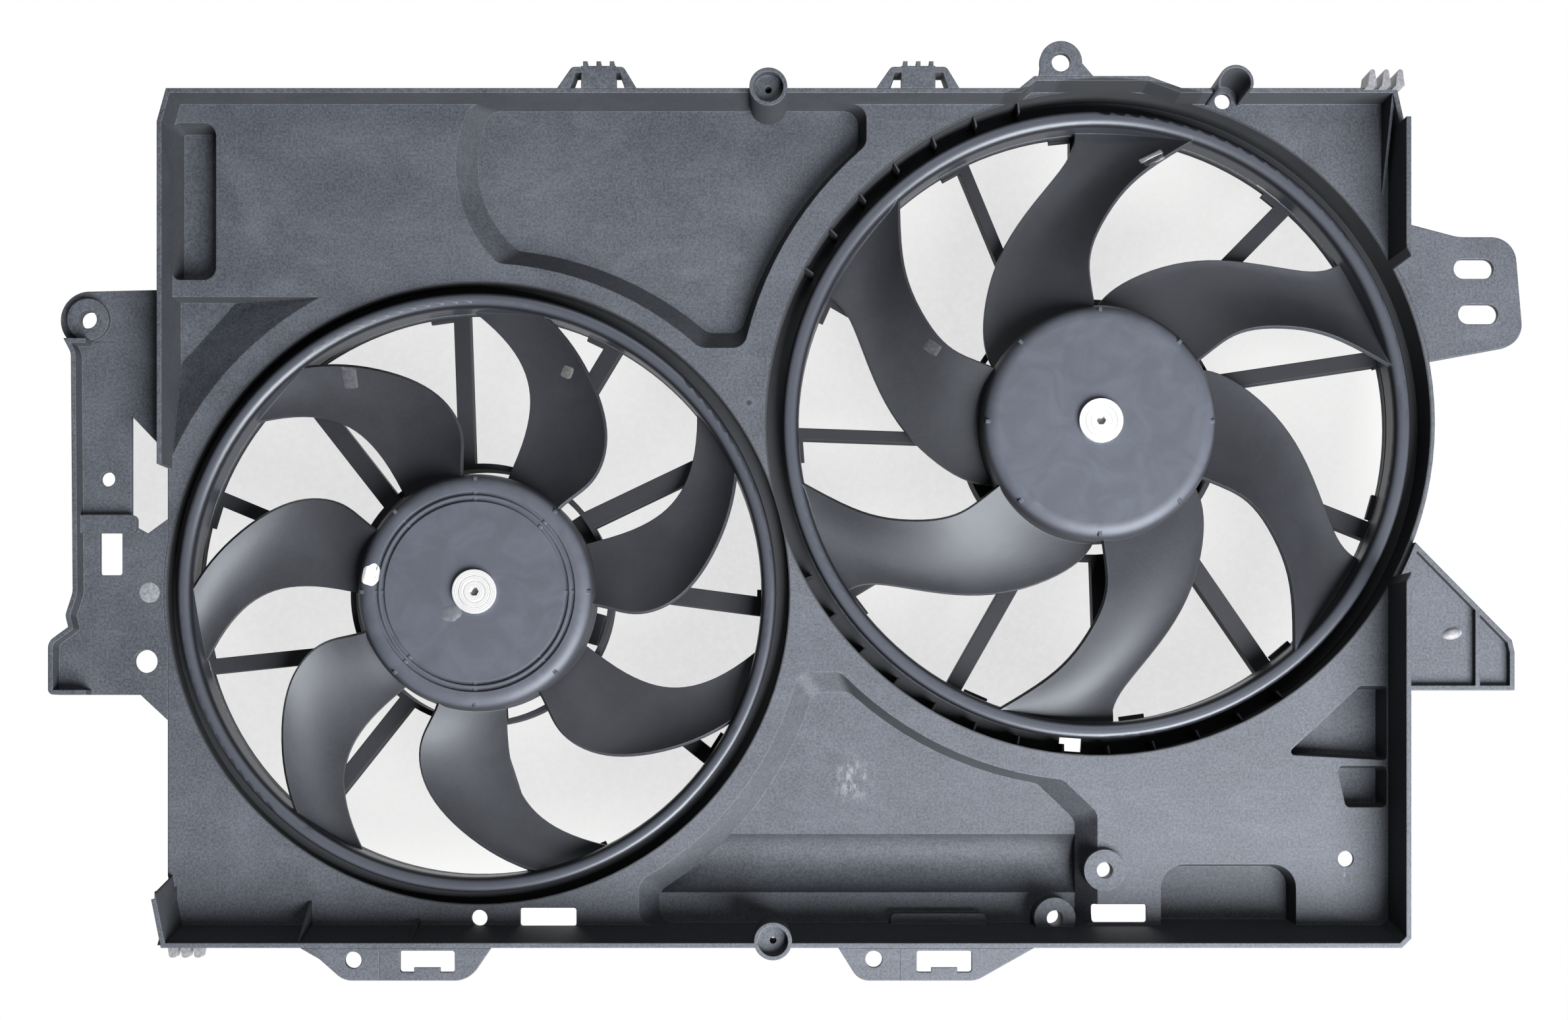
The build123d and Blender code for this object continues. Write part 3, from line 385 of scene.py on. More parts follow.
def fan_plastic(look, side, lip_from, hub_r):
    """The fans' plastic: plainer and darker, glossier on the ring and paler on the hub, with painted shade
    where the ring turns side-on.
    """
    finish = Finish(f"{side}_fan_plastic")
    from_axis = finish.radius(side)
    cloud = finish.noise(0.03, 3.0, 0.55, warp=0.5)
    fleck = finish.noise(0.0016, 2.0, 0.65)
    on_lip = from_axis.ramp(lip_from - 0.0004, lip_from + 0.0004)
    on_hub = 1.0 - from_axis.ramp(hub_r - 0.004, hub_r - 0.001)
    bloom = finish.noise(0.022, 4.0, 0.6, warp=1.0).ramp(0.35, 0.7)
    tone = finish.blend(cloud.ramp(0.35, 0.7) * 0.35 + fleck.ramp(0.3, 0.75) * 0.25, look.tone,
                        tuple(c * 1.45 for c in look.tone))
    tone = finish.blend(on_hub * (0.68 + bloom * 0.25), tone, look.pale)
    tone = finish.blend(on_lip * 0.55, tone, look.pale)
    # Painted shade: where the ring's lip curls away from the front it is darkened nearly to black
    turned_away = 1.0 - finish.facing().ramp(0.6, 0.98)
    tone = finish.blend(on_lip * turned_away * 0.9, tone, UNLIT)
    dull = look.gloss + cloud * 0.1 + fleck * 0.05 - on_lip * (look.gloss - look.lip_gloss) + on_hub * 0.04
    normal = finish.normal(fleck, 0.0001, look.edge, 0.25)
    return finish.surface(base_color=tone, roughness=dull, specular_ior_level=0.3,
                          specular_tint=SHINE, normal=normal)


def zinc_plate(look, side=None):
    """Bright zinc: fine brushed rings round the axis on the discs, a plain crystal bloom elsewhere."""
    finish = Finish(f"{side}_zinc_disc" if side else "zinc_plate")
    bloom = finish.noise(0.004, 4.0, 0.65)
    tone = finish.blend(bloom.ramp(0.35, 0.7) * 0.4, look.zinc, tuple(c * 0.8 for c in look.zinc))
    dull = 0.4 + bloom * 0.14
    if side:
        from_axis = finish.radius(side)
        turned = (from_axis * (2 * pi / 0.0011)).sine() * 0.5 + 0.5
        grooves = from_axis.band(0.0085, 0.0089, 0.00015) | from_axis.band(0.0056, 0.006, 0.00015)
        # Painted shade: the two grooves are darkened in colour as well as cut in by the bump
        tone = finish.blend(grooves * 0.55, tone, tuple(c * 0.45 for c in look.zinc))
        normal = finish.normal(turned * 0.25 - grooves, 0.0002, 0.0003, 0.5)
    else:
        normal = finish.normal(bloom, 0.0001, 0.0003, 0.3)
    return finish.surface(base_color=tone, metallic=0.9, roughness=dull, normal=normal)


def can_enamel(look):
    """Black enamel on drawn steel, slightly orange-peeled."""
    finish = Finish("can_enamel")
    peel = finish.noise(0.0022, 2.0, 0.5)
    dust = finish.noise(0.02, 4.0, 0.6).ramp(0.5, 0.8)
    tone = finish.blend(dust * 0.35, look.enamel, (0.1, 0.098, 0.09))
    return finish.surface(base_color=tone, roughness=0.28 + dust * 0.25 + peel * 0.05, coat_weight=0.15,
                          normal=finish.normal(peel, 0.0001, 0.0005, 0.3))


def bright_steel():
    """Ground shaft steel with fine rings round its length."""
    finish = Finish("bright_steel")
    ground = finish.noise(0.0004, 2.0, 0.5, stretch=(0.1, 1.0, 0.1))
    tone = finish.blend(ground, (0.58, 0.58, 0.59), (0.46, 0.46, 0.47))
    return finish.surface(base_color=tone, metallic=1.0, roughness=0.2 + ground * 0.15,
                          normal=finish.normal(ground, 0.00004, 0.0003, 0.3))


def core_steel():
    """Stacked laminations: thin dark lines across the core."""
    finish = Finish("core_steel")
    lines = (finish.y * (2 * pi / 0.001)).sine().ramp(-0.2, 0.5)
    stain = finish.noise(0.006, 3.0).ramp(0.4, 0.7)
    tone = finish.blend(stain * 0.5, (0.3, 0.3, 0.31), (0.22, 0.2, 0.18))
    tone = finish.blend((1.0 - lines) * 0.6, tone, (0.08, 0.08, 0.085))
    return finish.surface(base_color=tone, metallic=0.85, roughness=0.42 + stain * 0.15,
                          normal=finish.normal(lines, 0.0001, 0.0, 0.5))


def ferrite():
    """Sintered magnet: dark, dull and finely pitted."""
    finish = Finish("ferrite")
    pits = finish.noise(0.0009, 4.0, 0.7)
    tone = finish.blend(pits.ramp(0.35, 0.7), (0.05, 0.05, 0.055), (0.085, 0.085, 0.09))
    return finish.surface(base_color=tone, roughness=0.62 + pits * 0.15,
                          normal=finish.normal(pits, 0.0002, 0.0005))


def sintered_bronze(look):
    """Sintered bronze with oil in its pores."""
    finish = Finish("sintered_bronze")
    pores = finish.noise(0.0007, 4.0, 0.7)
    tone = finish.blend(pores.ramp(0.3, 0.7), look.bronze, tuple(c * 0.6 for c in look.bronze))
    return finish.surface(base_color=tone, metallic=0.8, roughness=0.38 + pores * 0.2,
                          normal=finish.normal(pores, 0.0001, 0.0003))


def winding_copper(look, side):
    """Wound wire: close turns across the winding heads."""
    finish = Finish(f"{side}_winding_copper")
    turns = (finish.angle(side) * 150.0 + finish.radius(side) * 900.0).sine() * 0.5 + 0.5
    tone = finish.blend(turns, tuple(c * 0.35 for c in look.copper), look.copper)
    return finish.surface(base_color=tone, metallic=0.75, roughness=0.3 + turns * 0.1, coat_weight=0.4,
                          normal=finish.normal(turns, 0.0004, 0.0003, 0.8))


def pressed_carbon():
    """Brush carbon: black with a grey shine where it rubs."""
    finish = Finish("pressed_carbon")
    dust = finish.noise(0.001, 4.0, 0.6)
    tone = finish.blend(dust.ramp(0.4, 0.8), (0.02, 0.02, 0.021), (0.07, 0.07, 0.072))
    return finish.surface(base_color=tone, roughness=0.5 + dust * 0.2,
                          normal=finish.normal(dust, 0.0001, 0.0003))


def card_laminate():
    """Brown paper laminate."""
    finish = Finish("card_laminate")
    weave = finish.noise(0.0012, 3.0, 0.6, stretch=(1.0, 1.0, 0.3))
    tone = finish.blend(weave, (0.2, 0.14, 0.07), (0.3, 0.22, 0.12))
    return finish.surface(base_color=tone, roughness=0.5 + weave * 0.15,
                          normal=finish.normal(weave, 0.0001, 0.0003))


def paint_dab(look):
    """Thick white paint, brushed on by hand."""
    finish = Finish("white_paint")
    drag = finish.noise(0.0014, 3.0, 0.6, stretch=(1.0, 1.0, 0.4))
    tone = finish.blend(drag.ramp(0.3, 0.7) * 0.4, look.paint, tuple(c * 0.8 for c in look.paint))
    return finish.surface(base_color=tone, roughness=0.4 + drag * 0.2,
                          normal=finish.normal(drag, 0.0003, 0.0003, 0.6))


# Meshes

def mesh_object(name, mesh, material, body):
    """Links a finished mesh as a piece that rides on a CAD body."""
    piece = bpy.data.objects.new(name, mesh)
    bpy.context.scene.collection.objects.link(piece)
    mesh.materials.clear()
    mesh.materials.append(material)
    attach(piece, body)
    return piece


def realise(name, host, tree, inputs, material, body):
    """Runs a node tree on a host mesh once and keeps the result as a plain piece."""
    maker = bpy.data.objects.new(name + "_maker", host)
    bpy.context.scene.collection.objects.link(maker)
    modifier = maker.modifiers.new("Nodes", "NODES")
    modifier.node_group = tree
    for item in tree.interface.items_tree:
        if item.item_type == "SOCKET" and item.in_out == "INPUT" and item.name in inputs:
            modifier[item.identifier] = inputs[item.name]
    bpy.context.view_layer.update()
    evaluated = maker.evaluated_get(bpy.context.evaluated_depsgraph_get())
    mesh = bpy.data.meshes.new_from_object(evaluated)
    maker.modifiers.clear()
    bpy.data.objects.remove(maker)
    mesh.name = name
    return mesh_object(name, mesh, material, body)


def ring_of_ribs():
    """Node tree: copies of a rib round an axis that runs along Y, or in a row."""
    tree = bpy.data.node_groups.new("Ring of ribs", "GeometryNodeTree")
    face = tree.interface
    face.new_socket("Geometry", in_out="INPUT", socket_type="NodeSocketGeometry")
    for name, kind, default in (("Count", "NodeSocketInt", 12), ("First angle", "NodeSocketFloat", 0.0),
                                ("Pitch", "NodeSocketFloat", 0.1),
                                ("Centre", "NodeSocketVector", (0.0, 0.0, 0.0)),
                                ("Step", "NodeSocketVector", (0.0, 0.0, 0.0)),
                                ("Material", "NodeSocketMaterial", None)):
        socket = face.new_socket(name, in_out="INPUT", socket_type=kind)
        if default is not None:
            socket.default_value = default
    face.new_socket("Geometry", in_out="OUTPUT", socket_type="NodeSocketGeometry")
    add, join = tree.nodes.new, tree.links.new
    source, result = add("NodeGroupInput"), add("NodeGroupOutput")
    points = add("GeometryNodePoints")
    join(source.outputs["Count"], points.inputs["Count"])
    index, along = add("GeometryNodeInputIndex"), add("ShaderNodeVectorMath")
    step, total, turn = (add("ShaderNodeMath") for _ in range(3))
    along.operation = "MULTIPLY_ADD"
    join(source.outputs["Step"], along.inputs[0])
    join(index.outputs[0], along.inputs[1])
    join(source.outputs["Centre"], along.inputs[2])
    join(along.outputs[0], points.inputs["Position"])
    step.operation, total.operation, turn.operation = "MULTIPLY", "ADD", "MULTIPLY"
    join(index.outputs[0], step.inputs[0])
    join(source.outputs["Pitch"], step.inputs[1])
    join(step.outputs[0], total.inputs[0])
    join(source.outputs["First angle"], total.inputs[1])
    join(total.outputs[0], turn.inputs[0])
    turn.inputs[1].default_value = -1.0
    angles = add("ShaderNodeCombineXYZ")
    join(turn.outputs[0], angles.inputs["Y"])
    copies = add("GeometryNodeInstanceOnPoints")
    join(points.outputs[0], copies.inputs["Points"])
    join(source.outputs["Geometry"], copies.inputs["Instance"])
    join(angles.outputs[0], copies.inputs["Rotation"])
    whole, dressed = add("GeometryNodeRealizeInstances"), add("GeometryNodeSetMaterial")
    join(copies.outputs[0], whole.inputs[0])
    join(whole.outputs[0], dressed.inputs["Geometry"])
    join(source.outputs["Material"], dressed.inputs["Material"])
    join(dressed.outputs[0], result.inputs[0])
    return tree


def finished_mesh(name, shape):
    """Turns a bmesh into a mesh with its faces looking outward."""
    bmesh.ops.recalc_face_normals(shape, faces=shape.faces)
    mesh = bpy.data.meshes.new(name)
    shape.to_mesh(mesh)
    shape.free()
    return mesh


def prism(name, outlines):
    """A closed mesh between two outlines with equally many points."""
    shape = bmesh.new()
    first, last = ([shape.verts.new(point) for point in outline] for outline in outlines)
    shape.faces.new(first)
    shape.faces.new(list(reversed(last)))
    for index in range(len(first)):
        after = (index + 1) % len(first)
        shape.faces.new((first[index], last[index], last[after], first[after]))
    return finished_mesh(name, shape)


def plate_mesh(name, outline, thickness):
    """A flat rib from an outline of (radius, depth) points, centred on the plane of its thickness."""
    faces = (-thickness / 2, thickness / 2)
    return prism(name, [[(radius, depth, across) for radius, depth in outline] for across in faces])


def tooth_mesh(row):
    """One short tooth of a row: a tapered profile with a blunt round end, run along Y."""
    turns = [pi * step / ROUND_STEPS for step in range(ROUND_STEPS + 1)]
    end = [(row.narrow * cos(turn), (row.tip - row.root) * (1.0 - BLUNT + BLUNT * sin(turn))) for turn in turns]
    profile = [(row.wide, 0.0), *end, (-row.wide, 0.0)]
    outlines = [[(x, y, row.root + z) for x, z in profile] for y in (row.front, row.back)]
    return prism(row.name + "_host", outlines)


# Finishes of small pieces: the darker and the paler tone
RUBBED = {
    "rubbed": ((0.1, 0.105, 0.12), (0.17, 0.175, 0.19)),
    "comb": ((0.1, 0.102, 0.11), (0.16, 0.162, 0.175)),
    "tab": ((0.022, 0.023, 0.027), (0.034, 0.036, 0.042)),
    "dab": ((0.05, 0.051, 0.052), (0.09, 0.091, 0.09)),
    "leaf": ((0.05, 0.054, 0.062), (0.09, 0.095, 0.105)),
}

# Ribs across the right barrel's gap: the name of a stretch, its first rib in the full ring and its count.
# The ribs' depths start and end from the fan's, their inner edge leans back and stays clear of the lip.
RIB_ROWS = (("upper_barrel_ribs", 13, 7), ("lower_barrel_ribs", 26, 13))
RIB_START, RIB_END, RIB_LEAN, RIB_CLEAR = 0.012, 0.0012, 0.004, 0.42
# Painted shade: the ribs in the barrel's gap are darkened by this share
RIB_SHADE = 0.6

# A row of short teeth on the rim, in metres: the first one's X, root and tip in Z, front and back in Y, half
# widths at the root and at the tip, and the step along X. BLUNT is the share of a tooth that is rounded.
Teeth = namedtuple("Teeth", "name first root tip front back wide narrow step")
TEETH = (
    Teeth("top_right_teeth", 0.3155, 0.2325, 0.2412, 0.004, 0.018, 0.0024, 0.0014, 0.0075),
    Teeth("bottom_left_teeth", -0.3294, -0.2293, -0.2365, 0.002, 0.009, 0.0029, 0.0019, 0.0068),
)
TEETH_COUNT = 3
ROUND_STEPS = 6
BLUNT = 0.14

# A small flat piece that lies on a moulding: its node and body, its place and reach along X and Z, thickness,
# finish, turn in degrees, how square it is (2 is round, 8 nearly a rectangle) and how uneven its edge is
Dab = namedtuple("Dab", "name node body place reach thick material turned square uneven")
DABS = (
    Dab("paint_mark", "left_fan", "left_rotor", (-0.2260, -0.0298), (0.0052, 0.0062),
        0.0004, "paint", 0, 2, 1.0),
    Dab("glue_smear", "left_fan", "left_rotor", (-0.1822, -0.0508), (0.0052, 0.0048),
        0.0005, "glue", 0, 2, 1.0),
    Dab("round_dimple", "left_arm_bracket", "shroud", (-0.351, -0.0386), (0.0056, 0.0056),
        0.0002, "rubbed", 0, 2, 0.0),
    # Its pale finish paints the half-round bump's highlight
    Dab("half_round_bump", "right_lower_bracket", "shroud", (0.3677, -0.0612), (0.0055, 0.0032),
        0.0016, "comb", 12, 2, 0.0),
    Dab("left_blade_tab", "left_fan", "left_rotor", (-0.2402, 0.0800), (0.004, 0.0056),
        0.0003, "tab", 0, 8, 0.0),
    Dab("left_blade_dab", "left_fan", "left_rotor", (-0.1207, 0.0832), (0.0032, 0.0032),
        0.0004, "dab", -25, 5, 0.3),
    Dab("right_blade_tab", "right_fan", "right_rotor", (0.0812, 0.0975), (0.0045, 0.003),
        0.0003, "tab", -35, 8, 0.0),
    Dab("blade_clip_top", "right_fan", "right_rotor", (0.2031, 0.2045), (0.0066, 0.0016),
        0.0007, "zinc", 25, 8, 0.0),
    Dab("blade_clip_leaf", "right_fan", "right_rotor", (0.2042, 0.2022), (0.0058, 0.0024),
        0.0004, "leaf", 25, 8, 0.0),
)
DAB_SPOKES = 28
DAB_RINGS = 5
DAB_LIFT = 0.00004
# Where the search for a surface starts in front of everything, in metres
SEARCH_FROM = 0.01


def rubbed_plastic(name, dark, pale):
    """Plastic or steel of one of the small pieces, paler where a pin or a tool has touched it; on the
    half-round bump its pale tones also paint the bump's highlight.
    """
    finish = Finish(name)
    wear = finish.noise(0.0018, 3.0, 0.6)
    tone = finish.blend(wear.ramp(0.3, 0.7), dark, pale)
    return finish.surface(base_color=tone, roughness=0.45 + wear * 0.2,
                          normal=finish.normal(wear, 0.0002, 0.0, 0.4))


def set_glue():
    """Clear glue that has set dull over the plastic."""
    finish = Finish("set_glue")
    skin = finish.noise(0.003, 3.0, 0.6)
    tone = finish.blend(skin, (0.05, 0.055, 0.066), (0.085, 0.092, 0.108))
    return finish.surface(base_color=tone, roughness=0.3 + skin * 0.2, coat_weight=0.3,
                          normal=finish.normal(skin, 0.0004, 0.0, 0.6))


def drape(dab, material):
    """A low dab laid on a CAD node's front: rings of points dropped onto its surface."""
    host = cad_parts[dab.node]
    surface = BVHTree.FromObject(host, bpy.context.evaluated_depsgraph_get())
    to_host = host.matrix_world.inverted()
    lean = radians(dab.turned)
    shape = bmesh.new()
    rings = []
    for step in range(1, DAB_RINGS + 1):
        part = step / DAB_RINGS
        ring = []
        for spoke in range(DAB_SPOKES):
            turn = 2 * pi * spoke / DAB_SPOKES
            wave = part * (1.0 + dab.uneven * (0.1 * sin(2 * turn + 0.7) + 0.07 * sin(5 * turn + 2.1)))
            along, across = (reach * wave * copysign(abs(share) ** (2 / dab.square), share)
                             for reach, share in zip(dab.reach, (cos(turn), sin(turn))))
            x = dab.place[0] + along * cos(lean) - across * sin(lean)
            z = dab.place[1] + along * sin(lean) + across * cos(lean)
            rise = dab.thick * (1.0 - part ** 3) + DAB_LIFT
            ring.append(shape.verts.new((x, lying_at(surface, to_host, x, z) - rise, z)))
        rings.append(ring)
    crest = lying_at(surface, to_host, *dab.place) - dab.thick - DAB_LIFT
    top = shape.verts.new((dab.place[0], crest, dab.place[1]))
    for spoke in range(DAB_SPOKES):
        after = (spoke + 1) % DAB_SPOKES
        shape.faces.new((top, rings[0][spoke], rings[0][after]))
        for inner, outer in zip(rings, rings[1:]):
            shape.faces.new((inner[spoke], outer[spoke], outer[after], inner[after]))
    mesh = finished_mesh(dab.name, shape)
    for polygon in mesh.polygons:
        polygon.use_smooth = True
    return mesh_object(dab.name, mesh, material, dab.body)


def lying_at(surface, to_host, x, z):
    """The depth of a surface's front at a place of the front view."""
    start = to_host @ Vector((x, CAD_LOW.y - SEARCH_FROM, z))
    ahead = (to_host @ Vector((x, CAD_HIGH.y, z)) - start).normalized()
    hit = surface.ray_cast(start, ahead)[0]
    if hit is None:
        raise RuntimeError(f"Nothing lies behind x {x:.4f}, z {z:.4f}")
    return (to_host.inverted() @ hit).y


# Operators

class COOLING_OT_shroud(bpy.types.Operator):
    """Finish the moulded shroud, its brackets and its struts"""

    bl_idname = "cooling.shroud"
    bl_label = "Finish shroud"

    def execute(self, context):
        look = context.scene.cooling_shroud
        struts = [name for name in SHROUD_NODES if name.endswith("spider") or name.endswith("inlet")]
        dress(SHROUD_NODES, shroud_plastic(look, "shroud_plastic"))
        # Painted shade: the struts and inlets get a darker copy of the same plastic
        dress(struts, shroud_plastic(look, "strut_plastic", look.strut))
        return {"FINISHED"}


class COOLING_OT_fans(bpy.types.Operator):
    """Finish the two fans and their discs"""

    bl_idname = "cooling.fans"
    bl_label = "Finish fans"

    def execute(self, context):
        look, metal = context.scene.cooling_fans, context.scene.cooling_metals
        for side in SIDES:
            dress([f"{side}_fan"], fan_plastic(look, side, RING_R[side], HUB_R))
            dress([f"{side}_shaft_disc"], zinc_plate(metal, side))
        return {"FINISHED"}


class COOLING_OT_motors(bpy.types.Operator):
    """Finish the motors, inside and out"""

    bl_idname = "cooling.motors"
    bl_label = "Finish motors"

    def execute(self, context):
        metal = context.scene.cooling_metals
        groups = (
            (can_enamel(metal), ("motor_can", "end_cap")),
            (zinc_plate(metal), ("motor_flange", "motor_screws", "balance_clips")),
            (bright_steel(), ("shaft",)),
            (core_steel(), ("armature_core",)),
            (ferrite(), ("magnets",)),
            (sintered_bronze(metal), ("front_bush", "rear_bush", "hub_insert")),
            (pressed_carbon(), ("brushes",)),
            (card_laminate(), ("brush_card",)),
        )
        for material, names in groups:
            dress([f"{side}_{name}" for name in names for side in SIDES], material)
        for side in SIDES:
            dress([f"{side}_windings", f"{side}_commutator"], winding_copper(metal, side))
        return {"FINISHED"}


class COOLING_OT_marks(bpy.types.Operator):
    """Add the barrel's ribs and the small pieces that lie on the mouldings"""

    bl_idname = "cooling.marks"
    bl_label = "Add ribs and marks"

    def execute(self, context):
        look = context.scene.cooling_marks
        tree = ring_of_ribs()
        self.ribs(look, tree)
        self.teeth(tree)
        self.dabs(look)
        return {"FINISHED"}

    def ribs(self, look, tree):
        """Thin ribs across the right barrel's gap, seen above the hub's left and along the bottom."""
        lip, gap = LIP_R["right"], GAP["right"]
        low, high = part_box("right_fan")
        front, back = low.y + RIB_START, high.y + RIB_END
        inner, outer = lip + RIB_CLEAR * gap, lip + gap
        shape = [(inner, front), (outer, front - RIB_LEAN), (outer, back), (inner, back)]
        x, z = AXES["right"]
        pitch = 2 * pi / look.rib_count
        plastic = shroud_plastic(bpy.context.scene.cooling_shroud, "rib_plastic", RIB_SHADE)
        for name, first, count in RIB_ROWS:
            host = plate_mesh(name + "_host", shape, look.rib_width)
            inputs = {"Count": count, "First angle": first * pitch, "Pitch": pitch, "Centre": (x, 0.0, z),
                      "Material": plastic}
            realise(name, host, tree, inputs, plastic, "shroud")

    def teeth(self, tree):
        """Three short teeth on the rim's outside at the top right and at the bottom left."""
        plastic = rubbed_plastic("tooth_plastic", *RUBBED["comb"])
        for row in TEETH:
            inputs = {"Count": TEETH_COUNT, "First angle": 0.0, "Pitch": 0.0, "Centre": (row.first, 0.0, 0.0),
                      "Step": (row.step, 0.0, 0.0), "Material": plastic}
            realise(row.name, tooth_mesh(row), tree, inputs, plastic, "shroud")

    def dabs(self, look):
        """Paint and glue on the left hub, tabs and a balance clip on the blades, marks on the brackets."""
        metal = bpy.context.scene.cooling_metals
        materials = {"paint": paint_dab(look), "glue": set_glue(), "zinc": zinc_plate(metal)}
        for key, (dark, pale) in RUBBED.items():
            materials[key] = rubbed_plastic(key, dark, pale)
        for dab in DABS:
            drape(dab, materials[dab.material])


# The stage: each lamp's name, place, size in metres and the setting with its power, then the camera's sensor
# and shift, the floor's half width and its gap behind the assembly
LAMPS = (
    ("key_lamp", (0.85, -1.2, -1.2), 1.3, "key"),
    ("fill_lamp", (0.25, -1.1, 1.15), 0.8, "fill"),
    ("back_lamp", (-0.3, 1.6, 1.1), 1.6, "back"),
)
AIM = Vector((0.0, 0.03, 0.0))
SENSOR_WIDTH = 36.0
SHIFT = (0.005, 0.135)
FLOOR_HALF = 1.6
FLOOR_GAP = 0.0006
# The round stretch of grained floor behind a fan ends between these shares of its ring's radius
OPENING_EDGE = (1.09, 1.1)


class COOLING_OT_stage(bpy.types.Operator):
    """Set the pale floor, the soft lamps and the camera"""

    bl_idname = "cooling.stage"
    bl_label = "Build stage"

    def execute(self, context):
        look = context.scene.cooling_stage
        self.floor(look)
        self.lamps(look)
        self.world(look)
        self.camera(context, look)
        return {"FINISHED"}

    def floor(self, look):
        """The floor that the assembly lies on, behind it in this frame: one sheet with a fine grain."""
        depth, half = CAD_HIGH.y + FLOOR_GAP, FLOOR_HALF
        sheet = bpy.data.meshes.new("floor")
        corners = [(-half, depth, -half), (half, depth, -half), (half, depth, half), (-half, depth, half)]
        sheet.from_pydata(corners, [], [(0, 1, 2, 3)])
        floor = bpy.data.objects.new("floor", sheet)
        bpy.context.scene.collection.objects.link(floor)
        sheet.materials.append(self.floor_finish(look))
        floor.visible_shadow = False

    def floor_finish(self, look):
        """Pale grained board. Round the object it is clean white to the camera, and it is bare from behind."""
        finish = Finish("floor_board")
        grain = finish.noise(look.speck, 5.0, 0.75)
        broad = finish.noise(0.05, 3.0, 0.5)
        darker = tuple(c * 0.84 for c in look.floor)
        tone = finish.blend(grain.ramp(0.3, 0.75) * 0.5 + broad * 0.2, look.floor, darker)
        board = finish.node("ShaderNodeBsdfDiffuse", {}, {"Color": tone})
        near = finish.x.band(*ARM_GAP_X, 0.001) * finish.z.band(*ARM_GAP_Z, 0.001)
        for side in SIDES:
            x, z = self.past(side)
            edge = [share * RING_R[side] for share in OPENING_EDGE]
            near = near | (1.0 - finish.reach(x, z).ramp(*edge))
        plain = 1.0 - near
        lit = 0.7 + grain.ramp(0.3, 0.75) * 0.06
        paths = finish.node("ShaderNodeLightPath", {}, {}, out=None)
        seen = Value(finish, paths.outputs["Is Camera Ray"]) | Value(finish, paths.outputs["Is Glossy Ray"])
        seen = seen | Value(finish, paths.outputs["Is Transmission Ray"])
        white = finish.node("ShaderNodeEmission", {}, {"Color": (1.0, 1.0, 1.0), "Strength": 1.0})
        face = finish.node("ShaderNodeMixShader", {}, {0: seen * (plain + near * lit), 1: board, 2: white})
        clear = finish.node("ShaderNodeBsdfTransparent")
        behind = finish.node("ShaderNodeNewGeometry", out="Backfacing")
        whole = finish.node("ShaderNodeMixShader", {}, {0: behind, 1: face, 2: clear})
        finish.node("ShaderNodeOutputMaterial", {}, {"Surface": whole}, out=None)
        return finish.material

    @staticmethod
    def past(side):
        """Where the camera, looking along a fan's axis, meets the floor: the axis moved outward by parallax."""
        further = (CAD_HIGH.y - CAMERA.y) / (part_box(f"{side}_fan")[1].y - CAMERA.y)
        x, z = AXES[side]
        return CAMERA.x + (x - CAMERA.x) * further, CAMERA.z + (z - CAMERA.z) * further

    def lamps(self, look):
        """Three large soft lamps."""
        for name, place, size, setting in LAMPS:
            lamp = bpy.data.lights.new(name, "AREA")
            lamp.shape, lamp.size, lamp.energy = "SQUARE", size, getattr(look, setting)
            holder = bpy.data.objects.new(name, lamp)
            holder.location = place
            holder.rotation_euler = (AIM - Vector(place)).to_track_quat("-Z", "Y").to_euler()
            bpy.context.scene.collection.objects.link(holder)

    def world(self, look):
        """Even light from all round, seen as plain white."""
        world = bpy.data.worlds.new("room")
        bpy.context.scene.world = world
        world.use_nodes = True
        tree = world.node_tree
        tree.nodes.clear()
        add, join = tree.nodes.new, tree.links.new
        paths, result = add("ShaderNodeLightPath"), add("ShaderNodeOutputWorld")
        room, white, mix = add("ShaderNodeBackground"), add("ShaderNodeBackground"), add("ShaderNodeMixShader")
        room.inputs["Color"].default_value = (1.0, 1.0, 1.0, 1.0)
        room.inputs["Strength"].default_value = look.sky
        white.inputs["Color"].default_value = (1.0, 1.0, 1.0, 1.0)
        join(paths.outputs["Is Camera Ray"], mix.inputs[0])
        join(room.outputs[0], mix.inputs[1])
        join(white.outputs[0], mix.inputs[2])
        join(mix.outputs[0], result.inputs["Surface"])

    def camera(self, context, look):
        """The photograph's own view: square on, with its foot low on the plate."""
        data = bpy.data.cameras.new("camera")
        data.lens, data.sensor_width = look.lens, SENSOR_WIDTH
        data.shift_x, data.shift_y = SHIFT
        camera = bpy.data.objects.new("camera", data)
        camera.location = CAMERA
        camera.rotation_euler = (pi / 2, 0.0, 0.0)
        context.scene.collection.objects.link(camera)
        context.scene.camera = camera
        context.scene.view_settings.view_transform = "Standard"


class COOLING_PT_panel(bpy.types.Panel):
    """The assembly's sizes, colours and steps"""

    bl_idname = "COOLING_PT_panel"
    bl_label = "Cooling fan assembly"
    bl_space_type = "VIEW_3D"
    bl_region_type = "UI"
    bl_category = "Cooling Fans"

    def draw(self, context):
        for group, steps in PANEL_ROWS:
            settings = getattr(context.scene, group)
            box = self.layout.box()
            for key in settings.__annotations__:
                box.prop(settings, key)
            for step in steps:
                box.operator(step.bl_idname)


GROUPS = {"cooling_shroud": ShroudFinish, "cooling_fans": FanFinish, "cooling_metals": MetalFinish,
          "cooling_marks": MarkSizes, "cooling_stage": StageLook}
STEPS = (COOLING_OT_shroud, COOLING_OT_fans, COOLING_OT_motors, COOLING_OT_marks, COOLING_OT_stage)
PANEL_ROWS = (("cooling_shroud", (COOLING_OT_shroud,)), ("cooling_fans", (COOLING_OT_fans,)),
              ("cooling_metals", (COOLING_OT_motors,)), ("cooling_marks", (COOLING_OT_marks,)),
              ("cooling_stage", (COOLING_OT_stage,)))


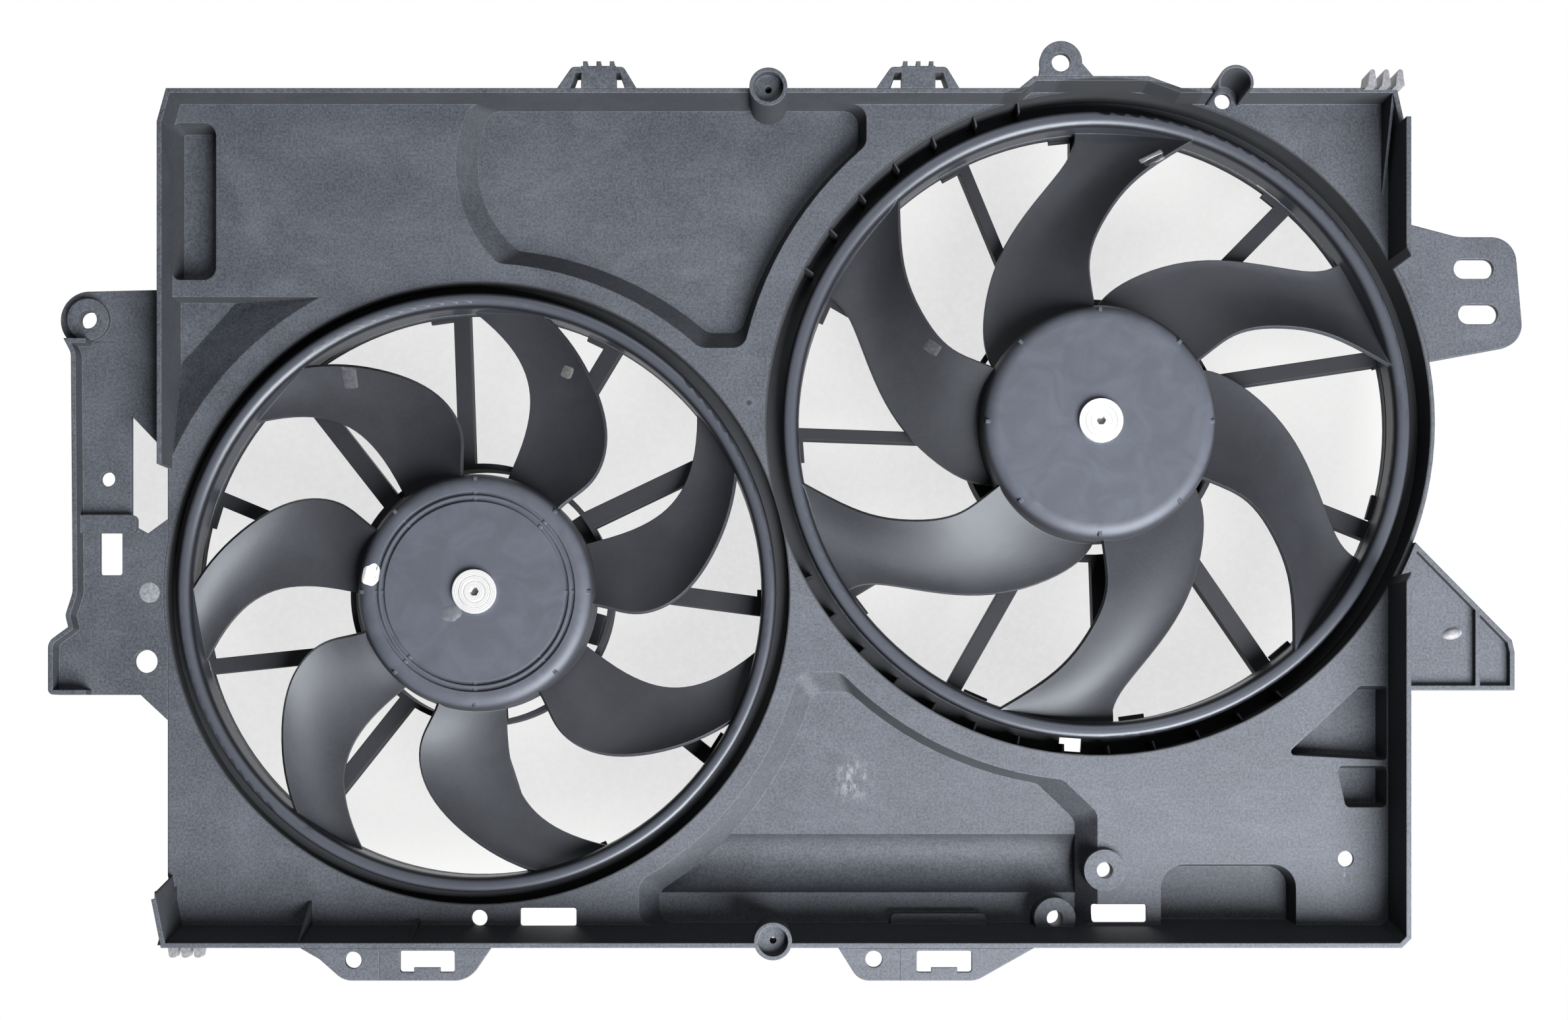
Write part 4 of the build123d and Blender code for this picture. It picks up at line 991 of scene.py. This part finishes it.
def register():
    """Registers the settings, the steps and the panel."""
    for group in GROUPS.values():
        bpy.utils.register_class(group)
    for name, group in GROUPS.items():
        setattr(bpy.types.Scene, name, PointerProperty(type=group))
    for step in (*STEPS, COOLING_PT_panel):
        bpy.utils.register_class(step)


def unregister():
    """Takes the panel, the steps and the settings away again."""
    for step in reversed((*STEPS, COOLING_PT_panel)):
        bpy.utils.unregister_class(step)
    for name in GROUPS:
        delattr(bpy.types.Scene, name)
    for group in reversed(list(GROUPS.values())):
        bpy.utils.unregister_class(group)


def main():
    """Runs every step in order."""
    register()
    for step in STEPS:
        area, name = step.bl_idname.split(".")
        getattr(getattr(bpy.ops, area), name)()


if __name__ == "__main__":
    main()
